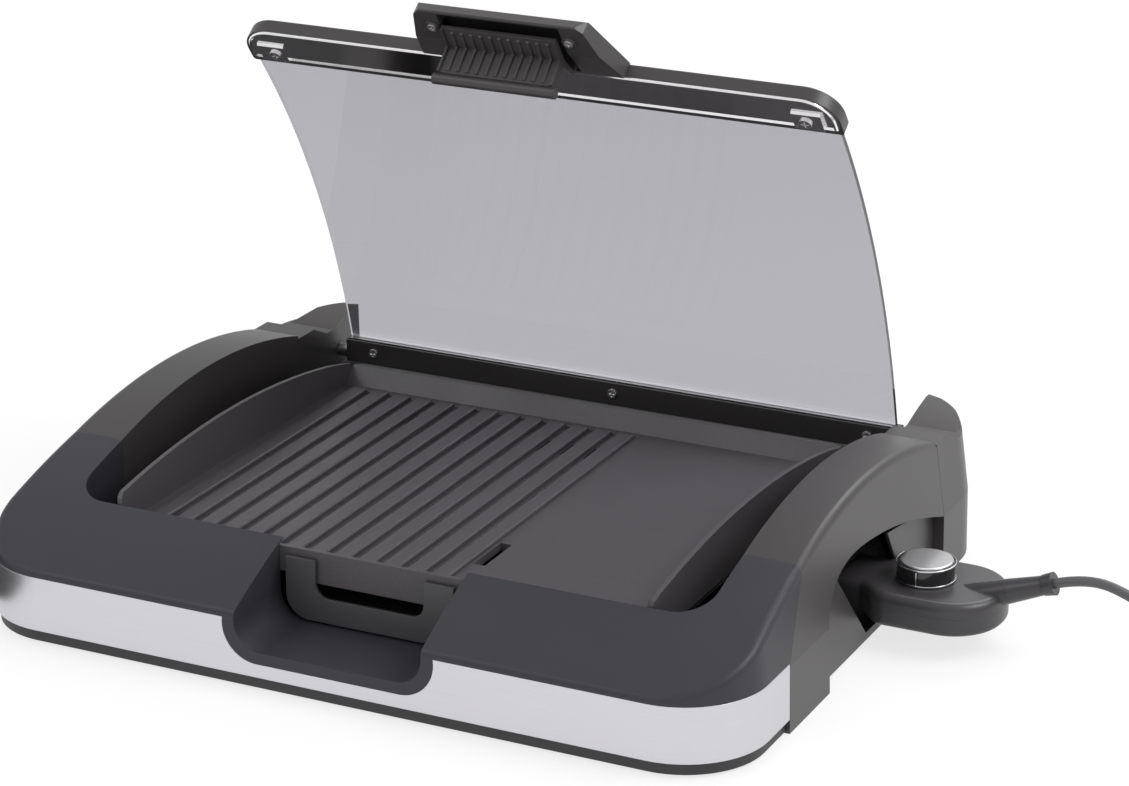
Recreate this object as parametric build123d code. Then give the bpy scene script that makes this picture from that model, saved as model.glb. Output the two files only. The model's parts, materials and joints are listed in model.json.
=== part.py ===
from build123d import *

import os
from math import atan2, cos, hypot, pi, radians, sin, sqrt, tan

# Countertop electric grill: ribbed plate in a plastic base, hinged glass lid, drip tray that slides out at
# the front and a plug-in thermostat with its dial and mains cord on the right.
# Millimetres. +X is the thermostat side, +Y the hinge side, +Z up. The origin is on the table under the
# middle of the base.

# Base covers
opening_half_width = 249.5  # opening that the plate lies in
arm_width = 52.5  # from the opening's side to the outside, at the table
base_width = 2 * (opening_half_width + arm_width)
band_lean = 1.0  # how far the side walls lean in behind the band
shoulder_lean = 12.5  # and from the table to shoulder height
base_depth = 500.0
shoulder_height = 130.0
corner_radius = 62.0
wall = 3.0  # moulded cover thickness
seam = 0.4  # gap left between neighbouring covers
front_y = -base_depth / 2
rear_y = base_depth / 2
ground_gap = 0.4  # covers stay this far above the table

# Front cover and the arch over each side
band_bottom = 11.0
band_top = 52.0
band_thickness = 0.8
band_gap = 0.2
kink_z = band_top - 2.0  # the side walls lean in more from here up
nose_z = 56.4  # where the front cover's top line meets its front face
opening_front_y = front_y + 70.0
opening_edge_z = 87.4
opening_radius = 26.0
opening_wall_bottom = 46.0
edge_round = 6.0
front_seam_y = front_y + 138.0
band_end_y = front_y + 99.0
rear_seam_y = rear_y - 103.0
seam_z = 107.5
arch_peak_z = 126.0
leg_rear_y = front_seam_y + 34.0
leg_inner_x = base_width / 2 - 16.0

# Recess in the front cover, where the drip tray slides out
recess_half_width = 73.3
recess_floor_z = 30.0
recess_radius = 20.0
recess_wall = 2.5
notch_half_width = 82.5
notch_floor_half_width = 57.0
notch_floor_z = 21.0

# Grill plate
plate_half_width = opening_half_width - 35.5
plate_front_y = opening_front_y - 5.0
plate_rear_y = rear_y - 82.0
plate_wall = 3.5
plate_bottom_z = 64.0
plate_field_z = 70.0
plate_rim_z = 83.0
plate_arch_z = 107.3
plate_corner_radius = 14.0
rib_count = 13
rib_pitch = 19.6
rib_width = 13.6
rib_top_z = 73.0
groove_z = 69.0
first_rib_x = 13.7 - plate_half_width  # left side of the first rib
last_rib_x = first_rib_x + (rib_count - 1) * rib_pitch + rib_width  # right side of the last rib
rib_front_y = plate_front_y + 17.0
rib_rear_y = plate_rear_y - 22.0
rib_round = 1.5
slot_width = 5.0

# Heating element under the plate
element_diameter = 8.0
element_gap = 0.3
element_bend = 14.0
element_left_x = 34.0 - plate_half_width
element_right_x = plate_half_width - 44.0
element_front_y = plate_front_y + 55.0
element_rear_y = plate_rear_y - 48.0
terminal_spacing = 24.0
terminal_z = 33.0
terminal_end_x = opening_half_width + 18.5
terminal_rise_x = terminal_end_x - 46.0  # where the cold ends begin to rise to the plate
socket_inner_x = opening_half_width - 15.5
socket_outer_x = opening_half_width - 1.5
clamp_sheet = 1.2
clamp_length = 16.0
clamp_flange = 9.0
clamp_screw_diameter = 3.0

# Reflector and plate rests
reflector_sheet = 1.0
reflector_half_width = plate_half_width - 9.0
reflector_front_y = plate_front_y + 27.0
reflector_rear_y = plate_rear_y - 18.0
reflector_outer_z = 53.0
reflector_inner_z = 49.5
reflector_slot_half_width = 62.0
rest_x = plate_half_width - 24.0
rest_front_y = plate_front_y + 37.0
rest_rear_y = plate_rear_y - 28.0
rest_diameter = 14.0
rest_pin_diameter = 8.0

# Drip tray and its runners
tray_half_width = 62.0
tray_sheet = 1.5
tray_bottom_z = 32.0
tray_height = 16.0
tray_rear_y = plate_rear_y - 18.0
tray_face_half_width = 66.6
tray_face_thickness = 2.5
tray_face_top_z = 77.4
tray_face_radius = 18.0
tray_face_gap = 1.5  # between the tray's face and the plate's front wall
tray_running_gap = 0.1
finger_half_width = 43.0
finger_floor_z = 50.0
finger_radius = 10.0
runner_width = 3.0
runner_x = 40.0

# Lower tray, feet and rear panel
floor_bottom_z = 2.0
floor_thickness = 3.0
floor_top_z = floor_bottom_z + floor_thickness
skirt_inset = 3.0
foot_diameter = 16.0
foot_x = base_width / 2 - 70.0
foot_front_y = front_y + 45.0
foot_rear_y = rear_y - 35.0
base_screw_x = base_width / 2 - 40.0
base_screw_front_y = front_y + 45.0
rear_deck_z = 62.0
rear_deck_front_y = rear_y - 78.0

# Rear posts
post_step_y = rear_seam_y + 25.0
post_foot_y = rear_seam_y + 46.0
post_foot_z = 95.5
fin_top_z = 105.0
fin_top_half = 25.5  # width of the fin's flat top
fin_fall = 12.0  # how far its outer part slopes down

# Side panels below the arches
panel_sheet = 2.5
panel_foot_x = base_width / 2 - 9.0
panel_top_x = base_width / 2 - 34.0
panel_top_z = 44.0
panel_kink_z = 9.0
sill_z = 8.0
inlet_front_y = 7.5
inlet_rear_y = 99.0

# Lid: glass pane between a hinged rail and a top frame with the handle
hinge_y = rear_y - 36.0
hinge_z = 76.0
pin_diameter = 8.0
pin_clearance = 0.05
bush_diameter = 12.0
boss_diameter = 20.0
boss_length = 10.0
rail_half_width = opening_half_width - 9.5
glass_half_width = rail_half_width - 3.2
glass_thickness = 4.0
glass_gap = 0.3
glass_bottom = (hinge_y + 1.0, 81.0)
glass_middle = (hinge_y - 44.0, 211.0)
glass_top = (hinge_y - 130.0, 351.0)  # origin of the lid's top plane
glass_reach = 20.0  # the pane reaches this far up inside the frame
rail_front_y = hinge_y - 6.3
rail_rear_y = hinge_y + 6.0
rail_bottom_z = 68.0
rail_top_z = 88.0
rail_trim_height = 1.2
rail_screw_x = rail_half_width - 25.0
rail_screw_z = 78.6
rail_bore_length = 14.0

# Top frame and handle, measured in the lid's top plane: t runs up the glass, n to its inner side
frame_half_width = glass_half_width + 3.8
frame_low = 5.5
frame_high = 43.5
frame_back = -8.1
frame_face = 3.4
frame_corner = 26.0
frame_foot_corner = 2.5
frame_round = 2.0
liner_half_width = frame_half_width - 3.0
liner_low = 11.0
liner_high = 43.0
liner_corner = 23.0
liner_sheet = 0.8
liner_depth = 2.0  # from the frame's face to the liner's rim
liner_bevel = 2.8
clip_x = frame_half_width - 25.6
clip_t = 19.0
clip_height = 18.5
clip_thickness = 2.5
hood_back = [(frame_high, frame_back), (99.0, 1.1), (101.5, 2.8), (105.5, 11.5)]
hood_front = [(104.0, 12.2), (75.0, 12.8), (frame_high, 5.4)]
hood_outline = [(80.8, frame_high), (80.6, 46.0), (67.5, 100.0), (62.0, 105.5)]
hood_wall = 2.7
pocket_half_width = 48.4
pocket_low = 45.5
pocket_high = 102.6
ear_x = 54.3
ear_screw_t = 90.0
ear_boss_n = 14.5
grip_half_width = 45.8
grip_top = 93.0
grip_wall = 2.8
grip_lip = (68.6, 43.4)  # middle of the round bar along the grip's edge
grip_lip_radius = 4.3
grip_lip_half_width = 48.6
grip_rib_count = 11
grip_rib_pitch = 7.56
grip_rib_width = 2.6
cheek_width = 1.8

# Thermostat, dial and probe
thermostat_y = 46.0
thermostat_face_x = opening_half_width + 12.5
neck_end_x = thermostat_face_x + 22.0
neck_half_width = 26.5
body_half_width = 42.5
body_wide_x = thermostat_face_x + 47.0  # the body's straight side begins
body_round_x = thermostat_face_x + 83.0  # and ends
knob_x = thermostat_face_x + 62.4
body_end_x = thermostat_face_x + 122.5
body_bottom_z = 19.0
body_split_z = 33.0
body_top_z = 43.6
body_round = 6.0
body_wall = 2.5
knob_diameter = 42.0
knob_height = 13.0
knob_cap_height = 1.8
knob_gap = 0.3
shaft_diameter = 6.0
shaft_clearance = 0.1
tail_angle = 20.0
tail_x = thermostat_face_x + 125.0
tail_z = 45.0
tail_radius = 9.0
switch_front_x = thermostat_face_x + 20.0
probe_diameter = 5.0
probe_tip_x = thermostat_face_x - 57.0
sleeve_clearance = 0.4
sleeve_wall = 1.2
contact_clearance = 0.1
contact_wall = 1.2

# Mains cord, its put-away coil and the plug
cord_diameter = 7.4
relief_length = 35.5
relief_collar = 8.0
relief_waist_radius = 7.0
relief_collar_radius = 8.5
coil_radius = 46.0  # first half turn, at the middle of the cord
coil_pitch = 8.0
coil_half_turns_in = 4
coil_half_turns_out = 5
coil_layer = 8.0
coil_lift = 0.05
plug_radius = 18.5
plug_length = 46.0
plug_gland_length = 16.0
plug_pin_diameter = 4.8
plug_pin_spacing = 19.0
plug_pin_length = 19.0

far = 400.0  # half size of cutting blocks

os.makedirs("parts", exist_ok=True)


def block(x0, x1, y0, y1, z0, z1):
    """A box between two corners."""
    middle = ((x0 + x1) / 2, (y0 + y1) / 2, (z0 + z1) / 2)
    return Pos(*middle) * Box(abs(x1 - x0), abs(y1 - y0), abs(z1 - z0))


def side_prism(face, x0, x1):
    """A face drawn in (y, z) and extruded along X from x0 to x1."""
    return Pos(x0, 0, 0) * extrude(Plane.YZ * face, x1 - x0)


def front_prism(face, y0, y1):
    """A face drawn in (x, z) and extruded along Y from y0 to y1."""
    return Pos(0, y1, 0) * extrude(Plane.XZ * face, y1 - y0)


def plan_prism(face, z0, z1):
    """A face drawn in (x, y) and extruded upwards from z0 to z1."""
    return Pos(0, 0, z0) * extrude(face, z1 - z0)


def polygon(points):
    """A face inside straight lines."""
    return make_face(Polyline(*points, close=True))


def joined(*points):
    """Straight lines through the points, where a repeated point counts once."""
    kept = [p for i, p in enumerate(points) if i == 0 or p != points[i - 1]]
    return Polyline(*kept)


def upright(x, y, z0, z1, diameter):
    """A vertical cylinder."""
    return Pos(x, y, (z0 + z1) / 2) * Cylinder(diameter / 2, z1 - z0)


def along_x(x0, x1, y, z, diameter):
    """A cylinder along X."""
    return Pos((x0 + x1) / 2, y, z) * Rot(0, 90, 0) * Cylinder(diameter / 2, x1 - x0)


def along_y(x, y0, y1, z, diameter):
    """A cylinder along Y."""
    return Pos(x, (y0 + y1) / 2, z) * Rot(90, 0, 0) * Cylinder(diameter / 2, y1 - y0)


def mirrored(shape):
    """The same shape on the left side."""
    return mirror(shape, about=Plane.YZ)


def save(name, shape):
    """Writes one piece, or one group of like pieces, to its STEP file."""
    solids = shape.solids()
    result = solids[0] if len(solids) == 1 else Compound(children=list(solids))
    result.label = name
    export_step(result, f"parts/{name}.step")
    return result


def arc_centre(a, b, c):
    """Centre of the circle through three (y, z) points."""
    d = 2 * (a[0] * (b[1] - c[1]) + b[0] * (c[1] - a[1]) + c[0] * (a[1] - b[1]))
    squares = [p[0] ** 2 + p[1] ** 2 for p in (a, b, c)]
    y = (squares[0] * (b[1] - c[1]) + squares[1] * (c[1] - a[1]) + squares[2] * (a[1] - b[1])) / d
    z = (squares[0] * (c[0] - b[0]) + squares[1] * (a[0] - c[0]) + squares[2] * (b[0] - a[0])) / d
    return (y, z)


def side_x(z):
    """Half width of the base at height z."""
    if z < kink_z:
        return base_width / 2 - band_lean * z / kink_z
    above = (z - kink_z) / (shoulder_height - kink_z)
    return base_width / 2 - band_lean - (shoulder_lean - band_lean) * above


def base_envelope(inset):
    """The outside of the base: a rounded rectangle that narrows upwards, moved inwards by inset."""
    sections = []
    for z in (0, kink_z, shoulder_height):
        outline = RectangleRounded(2 * (side_x(z) - inset), base_depth - 2 * inset, corner_radius - inset)
        sections.append(Pos(0, 0, z) * outline)
    return loft(sections, ruled=True)


envelope = base_envelope(0)
envelope_inside = base_envelope(wall)

cover_arc = ((front_y, nose_z), (opening_front_y, opening_edge_z), (front_seam_y, seam_z))
cover_centre = arc_centre(*cover_arc)
cover_radius = hypot(front_y - cover_centre[0], nose_z - cover_centre[1])


# Front cover
def bezel_top(y, inset):
    """Height of the front cover's top line, moved inwards by inset."""
    return cover_centre[1] + sqrt((cover_radius - inset) ** 2 - (y - cover_centre[0]) ** 2)


def bezel_region(inset, end_y):
    """What lies below the top line of the front cover, moved inwards by inset."""
    nose_y = front_y + inset
    nose = (nose_y, bezel_top(nose_y, inset))
    seam_top = bezel_top(front_seam_y, inset)
    top = ThreePointArc(nose, (opening_front_y, bezel_top(opening_front_y, inset)), (front_seam_y, seam_top))
    sides = joined(
        (front_seam_y, seam_top),
        (end_y, seam_top),
        (end_y, band_bottom - inset),
        (nose_y, band_bottom - inset),
        nose,
    )
    return make_face(top + sides)


def on_ridge(edge, inset):
    """Whether an edge belongs to the ridge between the top and the outside of the covers."""
    place = edge.center()
    side = place.X > side_x(place.Z) - inset - corner_radius / 2
    front = place.Y < front_y + inset + corner_radius / 2
    return place.Z > band_top and (front or side) and place.Y < front_seam_y - 1


def rounded_cover(inset, end_y):
    """The front cover's solid shape with its ridge rounded, moved inwards by inset."""
    body = side_prism(bezel_region(inset, end_y), -far, far) & base_envelope(inset)
    ridge = [e for e in body.edges() if on_ridge(e, inset) or on_ridge(mirrored(e), inset)]
    return fillet(ridge, edge_round - inset)


def notch_region(clear):
    """The opening in the steel band round the recess, made smaller by clear."""
    half = notch_half_width - clear
    floor_half = notch_floor_half_width - clear
    floor_z = notch_floor_z + clear
    bulge = (0.25 * floor_half + 0.75 * half, floor_z + 0.3 * (band_top - floor_z))
    outline = ThreePointArc((half, band_top), bulge, (floor_half, floor_z))
    outline += Line((floor_half, floor_z), (-floor_half, floor_z))
    outline += ThreePointArc((-floor_half, floor_z), (-bulge[0], bulge[1]), (-half, band_top))
    above = shoulder_height
    outline += Polyline((-half, band_top), (-half, above), (half, above), (half, band_top))
    return make_face(outline)


def recess_region(grow):
    """Cross-section of the recess, open at the top, made larger by grow."""
    half = recess_half_width + grow
    floor_z = recess_floor_z - grow
    top = shoulder_height
    face = polygon([(-half, floor_z), (half, floor_z), (half, top), (-half, top)])
    corners = face.vertices().filter_by(lambda v: v.Y < top - 1)
    return fillet(corners, recess_radius)


def opening_region(grow):
    """Plan of the opening that the plate lies in, open towards the back."""
    half = opening_half_width + grow
    front = opening_front_y - grow
    back = front_seam_y + 20
    face = polygon([(-half, front), (half, front), (half, back), (-half, back)])
    corners = face.vertices().filter_by(lambda v: v.Y < back - 1)
    return fillet(corners, opening_radius + grow)


def leg_side_region(shift):
    """What belongs to the leg and the arch where the front cover's side is cut away."""
    return polygon(
        [
            (front_seam_y - shift, seam_z + 30),
            (front_seam_y - shift, seam_z),
            (band_end_y - shift, band_top),
            (band_end_y - shift, -10),
            (front_seam_y + 60, -10),
            (front_seam_y + 60, seam_z + 30),
        ]
    )


bezel_outside = rounded_cover(0, front_seam_y)
bezel_hollow = rounded_cover(wall, front_seam_y + 1)
recess_rear_y = opening_front_y - wall - 2
base_screw_places = (-base_screw_x, -base_screw_x / 2.4, base_screw_x / 2.4, base_screw_x)
plate_clear = 2.5
tray_face_rear_y = plate_front_y - tray_face_gap
tray_face_front_y = tray_face_rear_y - tray_face_thickness


def make_bezel():
    """Moulded front cover with the opening for the plate, the recess and the screw bosses."""
    shell = bezel_outside - bezel_hollow
    shell -= plan_prism(opening_region(0), opening_wall_bottom, shoulder_height)
    ring = plan_prism(opening_region(wall) - opening_region(0), opening_wall_bottom, shoulder_height)
    clear_x = plate_half_width + plate_clear
    ring -= block(-clear_x, clear_x, front_y, 0, 0, shoulder_height)
    shell += ring & bezel_outside
    lip_pocket = side_prism(bezel_region(wall * 0.4, front_seam_y), -clear_x, clear_x)
    shell -= lip_pocket & block(-clear_x, clear_x, plate_front_y - plate_clear, 0, 55, shoulder_height)
    liner = front_prism(recess_region(recess_wall), front_y, recess_rear_y)
    shell += liner & bezel_outside
    for x in base_screw_places:
        boss = upright(x, base_screw_front_y, floor_top_z, band_top, 9.0)
        boss += upright(x, base_screw_front_y, floor_top_z, shoulder_height, 9.0) & bezel_outside
        shell += boss
        shell -= upright(x, base_screw_front_y, 0, 30, 3.2)
    shell -= front_prism(recess_region(0), front_y - 10, recess_rear_y + 10)
    side_cut = side_prism(leg_side_region(0), opening_half_width + wall, far)
    shell -= side_cut
    shell -= mirrored(side_cut)
    band_seat = envelope - base_envelope(band_thickness + band_gap)
    shell -= band_seat & block(-far, far, front_y - 10, front_y + corner_radius, 0, band_top) - front_prism(
        notch_region(band_gap), front_y - 20, front_y + corner_radius
    )
    seat_side = block(side_x(band_top) - 2, far, front_y - 10, 0, 0, band_top)
    shell -= band_seat & seat_side
    shell -= band_seat & mirrored(seat_side)
    return shell


front_bezel = make_bezel()


def make_band():
    """Bent sheet steel round the front and both front corners, with an inward lip along its top."""
    sheet = envelope - base_envelope(band_thickness)
    lip = envelope - base_envelope(band_thickness + band_gap)
    reach = block(-far, far, front_y - 10, band_end_y, band_bottom, band_top)
    lip_reach = block(-far, far, front_y - 10, band_end_y, band_top - band_thickness, band_top)
    band = (sheet & reach) + (lip & lip_reach)
    return band - front_prism(notch_region(0), front_y - 20, front_y + corner_radius)


steel_band = make_band()


# Arches over the sides, each with its front leg
def arm_region(inset, open_ends):
    """Side outline of the arch and its leg. The inner copy reaches past the ends and the leg's foot."""
    more = 1.0 if open_ends else 0.0
    front = front_seam_y - more
    rear = rear_seam_y - seam + more
    top = ThreePointArc((front, seam_z - inset), ((front_seam_y + rear_seam_y) / 2, arch_peak_z - inset), (rear, seam_z - inset))
    down = Polyline(
        (rear, seam_z - inset),
        (rear, 46.0),
        (leg_rear_y - inset, 46.0),
        (leg_rear_y - inset, ground_gap - more),
        (band_end_y + seam + inset, ground_gap - more),
        (band_end_y + seam + inset, band_top - inset),
        (front, seam_z - inset),
    )
    return make_face(top + down)


def arch_underside():
    """The free space below the arch's outer face, behind the leg."""
    start = (leg_rear_y, -10.0)
    crown = [(leg_rear_y + 22, 77.5), (leg_rear_y + 47, 83.5), (leg_rear_y + 85, 82.5), (leg_rear_y + 138, 74.5)]
    curve = Spline((leg_rear_y - 2, 52.0), *crown, (rear_seam_y + 5, 48.0))
    return make_face(
        Polyline((rear_seam_y + 5, 48.0), (rear_seam_y + 5, -10.0), start, (leg_rear_y - 2, 52.0)) + curve
    )


def make_arm():
    """Right arch: top, slanted outer face, inner wall beside the plate and the front leg."""
    inner_x = opening_half_width
    outside = side_prism(arm_region(0, False), inner_x, far) & envelope
    ridge = [e for e in outside.edges() if e.center().Z > seam_z - 2 and e.center().X > side_x(seam_z) - 4]
    outside = fillet(ridge, edge_round)
    hollow = side_prism(arm_region(wall, True), inner_x + wall, far) & envelope_inside
    inner_ridge = [
        e for e in hollow.edges() if e.center().Z > seam_z - wall - 2 and e.center().X > side_x(seam_z) - wall - 4
    ]
    hollow = fillet(inner_ridge, edge_round - wall)
    arm = outside - hollow
    arm -= side_prism(arch_underside(), inner_x + wall + 2, far)
    arm -= block(0, leg_inner_x, -far, front_seam_y, -10, shoulder_height)
    arm -= block(0, leg_inner_x, front_seam_y - 1, rear_seam_y, -10, 46.0)
    return arm


right_arm = make_arm()
left_arm = mirrored(right_arm)


# Rear posts that carry the hinge
def post_region(inset):
    """Side outline of the post without its fin."""
    rear = rear_y - inset
    return polygon(
        [
            (rear_seam_y + inset, ground_gap - (1 if inset else 0)),
            (rear_seam_y + inset, fin_top_z - inset),
            (post_step_y - inset / 3, fin_top_z - inset),
            (post_foot_y - inset / 3, post_foot_z - inset),
            (rear, post_foot_z - inset),
            (rear, 14.0),
            (rear - 8, ground_gap - (1 if inset else 0)),
        ]
    )


def make_fin():
    """Raised fin at the back of the right post: its front swells up, its outer part slopes down."""
    inner_x = opening_half_width
    foot = (post_foot_y + 9, post_foot_z)
    swell = ThreePointArc(foot, (post_foot_y + 28, fin_top_z - 4.2), (rear_y - 8, fin_top_z))
    base = joined((rear_y - 8, fin_top_z), (rear_y, fin_top_z), (rear_y, post_foot_z - 1), (foot[0], foot[1] - 1), foot)
    fin = side_prism(make_face(swell + base), inner_x, far) & envelope
    flat_x = inner_x + fin_top_half
    across = polygon(
        [
            (inner_x, post_foot_z - 1),
            (inner_x, fin_top_z),
            (flat_x, fin_top_z),
            (flat_x + 18, fin_top_z - fin_fall),
            (flat_x + 18, post_foot_z - 1 - fin_fall),
        ]
    )
    return fin & front_prism(across, post_foot_y, rear_y + 1)


def make_post():
    """Right post: hollow, open below, with the boss for the hinge bush in its inner wall."""
    inner_x = opening_half_width
    outside = side_prism(post_region(0), inner_x, far) & envelope
    hollow = side_prism(post_region(wall), inner_x + wall, far) & envelope_inside
    post = outside - hollow + make_fin()
    post += along_x(inner_x + wall / 2, inner_x + wall + boss_length, hinge_y, hinge_z, boss_diameter)
    post -= along_x(inner_x - 1, far, hinge_y, hinge_z, bush_diameter) & block(
        0, inner_x + wall + boss_length + 1, -far, far, 0, far
    )
    return post


right_post = make_post()
left_post = mirrored(right_post)


def make_bush():
    """Flanged bush in the post's boss."""
    inner_x = opening_half_width
    tube = along_x(inner_x, inner_x + wall + boss_length + 1.5, hinge_y, hinge_z, bush_diameter)
    flange_x = inner_x + wall + boss_length
    tube += along_x(flange_x, flange_x + 1.5, hinge_y, hinge_z, bush_diameter + 4)
    return tube - along_x(inner_x - 1, flange_x + 10, hinge_y, hinge_z, pin_diameter + 2 * pin_clearance)


right_bush = make_bush()
hinge_bushes = right_bush + mirrored(right_bush)


# Lower tray that closes the base from below
def make_lower_tray():
    """Floor plate, front skirt and holes for the screws."""
    inside = base_envelope(skirt_inset)
    front = inside & block(-far, far, front_y, band_end_y - seam, floor_bottom_z, floor_top_z)
    skirt_wall = 2.5
    skirt = inside - base_envelope(skirt_inset + skirt_wall)
    skirt &= block(-far, far, front_y, band_end_y - seam, floor_top_z, band_bottom)
    leg_x = leg_inner_x - seam
    rear_x = opening_half_width - seam
    mid_x = panel_foot_x - panel_sheet - seam
    floor = block(-leg_x, leg_x, band_end_y - seam, leg_rear_y + seam, floor_bottom_z, floor_top_z)
    floor += block(-mid_x, mid_x, leg_rear_y + seam, rear_seam_y - seam, floor_bottom_z, floor_top_z)
    back_y = rear_y - wall - seam
    floor += block(-rear_x, rear_x, rear_seam_y - seam, back_y, floor_bottom_z, floor_top_z)
    tray = front + skirt + floor
    for x in base_screw_places:
        tray -= upright(x, base_screw_front_y, 0, floor_top_z + 1, 3.4)
    return tray


lower_tray = make_lower_tray()


def make_feet():
    """Rubber feet under the lower tray."""
    feet = Part()
    for x in (-foot_x, foot_x):
        for y in (foot_front_y, foot_rear_y):
            feet += upright(x, y, 0, floor_bottom_z, foot_diameter)
    return feet


rubber_feet = make_feet()


def make_base_screws():
    """Screws through the lower tray into the bosses of the front cover."""
    screws = Part()
    for x in base_screw_places:
        screws += upright(x, base_screw_front_y, floor_bottom_z - 1.4, floor_bottom_z, 6.5)
        screws += upright(x, base_screw_front_y, floor_bottom_z, floor_top_z + 16, 3.0)
        screws -= block(x - 2.4, x + 2.4, base_screw_front_y - 0.5, base_screw_front_y + 0.5, 0, 1.2)
        screws -= block(x - 0.5, x + 0.5, base_screw_front_y - 2.4, base_screw_front_y + 2.4, 0, 1.2)
    return screws


base_screws = make_base_screws()


def make_rear_panel():
    """Deck behind the plate and the back wall between the posts."""
    half = opening_half_width - seam
    deck = block(-half, half, rear_deck_front_y, rear_y - wall, rear_deck_z, rear_deck_z + wall)
    back = block(-half, half, rear_y - wall, rear_y, floor_bottom_z, rear_deck_z + wall)
    front = block(-half, half, rear_deck_front_y, rear_deck_front_y + wall, floor_top_z, rear_deck_z)
    panel = deck + back + front
    for i in range(9):
        x = (i - 4) * 26.0
        panel -= block(x - 8, x + 8, rear_y - wall - 1, rear_y + 1, 18.0, 22.0)
        panel -= block(x - 8, x + 8, rear_y - wall - 1, rear_y + 1, 28.0, 32.0)
    return panel & envelope


rear_panel = make_rear_panel()


def make_shields():
    """Upright sheets under the right arch, in front of and behind the thermostat's recess."""
    y0 = leg_rear_y + seam
    y1 = rear_seam_y - seam
    apex = (leg_rear_y + 28, 74.2)
    front = Polyline(apex, (17.5, floor_bottom_z), (y0, floor_bottom_z), (y0, 51.5))
    front += Spline((y0, 51.5), (leg_rear_y + 3, 59.2), (leg_rear_y + 12, 68.8), apex)
    corner = (49.7, 71.0)
    rear = ThreePointArc(corner, (100.0, 63.0), (y1, 50.5))
    rear += Polyline((y1, 50.5), (y1, floor_bottom_z), (92.0, floor_bottom_z), (80.0, 45.6), (66.4, 45.6), corner)
    x0 = panel_foot_x - panel_sheet
    return side_prism(make_face(front), x0, panel_foot_x) + side_prism(make_face(rear), x0, panel_foot_x)


def make_side_panel(with_inlet):
    """Leaning sheet below the arch, on the right with the inlet for the thermostat."""
    outer = [(panel_foot_x, floor_bottom_z), (panel_foot_x, panel_kink_z), (panel_top_x, panel_top_z)]
    inner = [(x - panel_sheet, z) for x, z in reversed(outer)]
    panel = front_prism(polygon(outer + inner), leg_rear_y + seam, rear_seam_y - seam)
    flange_x = opening_half_width + wall + seam
    y0 = leg_rear_y + seam
    y1 = rear_seam_y - seam
    panel += block(flange_x, panel_top_x - 0.5, y0, y1, panel_top_z - panel_sheet, panel_top_z)
    if with_inlet:
        panel -= block(0, far, inlet_front_y, inlet_rear_y, sill_z, panel_top_z + 1)
        panel += make_shields()
    return panel


right_side_panel = make_side_panel(True)
left_side_panel = mirrored(make_side_panel(False))


# Plate, element and what carries them
def plate_side_region():
    """Side outline of the plate, with the arched top of its side walls."""
    shoulder = (plate_front_y + 14, 94.4)
    tail = (plate_rear_y - 37, 92.7)
    top = ThreePointArc(shoulder, (plate_front_y + 160, plate_arch_z), tail)
    rest = Polyline(
        tail,
        (plate_rear_y, plate_rim_z + 1),
        (plate_rear_y, plate_bottom_z),
        (plate_front_y, plate_bottom_z),
        (plate_front_y, plate_rim_z),
        (opening_front_y + 1, plate_rim_z),
        (plate_front_y + 8, 91.0),
        shoulder,
    )
    return make_face(top + rest)


def make_plate():
    """Cast plate: ribs on the left and middle, a flat field on the right, drain slots."""
    depth = plate_rear_y - plate_front_y
    middle_y = (plate_rear_y + plate_front_y) / 2
    plan = Pos(0, middle_y) * RectangleRounded(2 * plate_half_width, depth, plate_corner_radius)
    body = side_prism(plate_side_region(), -far, far) & plan_prism(plan, plate_bottom_z, shoulder_height)
    inner_half = plate_half_width - plate_wall
    cavity_front = plate_front_y + plate_wall
    cavity = polygon(
        [
            (cavity_front, shoulder_height),
            (cavity_front, plate_field_z),
            (rib_rear_y + 9, plate_field_z),
            (plate_rear_y - plate_wall, plate_rim_z + 1),
            (plate_rear_y + 10, plate_rim_z + 1),
            (plate_rear_y + 10, shoulder_height),
        ]
    )
    inner_plan = Pos(0, middle_y + 10) * RectangleRounded(
        2 * inner_half, depth - 2 * plate_wall + 20, plate_corner_radius - plate_wall
    )
    body -= side_prism(cavity, -inner_half, inner_half) & plan_prism(inner_plan, 0, shoulder_height + 1)
    body -= block(first_rib_x - 2, last_rib_x, rib_front_y, rib_rear_y, groove_z, plate_field_z + 1)
    for i in range(rib_count):
        x = first_rib_x + i * rib_pitch
        rib = block(x, x + rib_width, rib_front_y, rib_rear_y, groove_z, rib_top_z)
        rib = fillet(rib.edges().group_by(Axis.Z)[-1], rib_round)
        body += rib
    body += block(-tray_face_half_width, tray_face_half_width, plate_front_y, cavity_front, 59.0, plate_bottom_z)
    groove_half = (rib_pitch - rib_width) / 2
    rear_slot = (plate_rear_y - 76, plate_rear_y - 54)
    left_slot = (plate_rear_y - 71, plate_rear_y - 49)
    front_slot = (plate_front_y + 34, plate_front_y + 56)
    slots = [(12, rear_slot), (11, rear_slot), (10, rear_slot), (4, left_slot), (1, front_slot), (2, front_slot)]
    for rib_index, (y0, y1) in slots:
        x = first_rib_x + rib_index * rib_pitch - groove_half
        body -= block(x - slot_width / 2, x + slot_width / 2, y0, y1, 0, plate_field_z + 1)
    body -= block(last_rib_x + 2, last_rib_x + 11, plate_front_y + 57, plate_front_y + 99, 0, plate_field_z + 1)
    return body


grill_plate = make_plate()

element_z = plate_bottom_z - element_gap - element_diameter / 2


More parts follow.
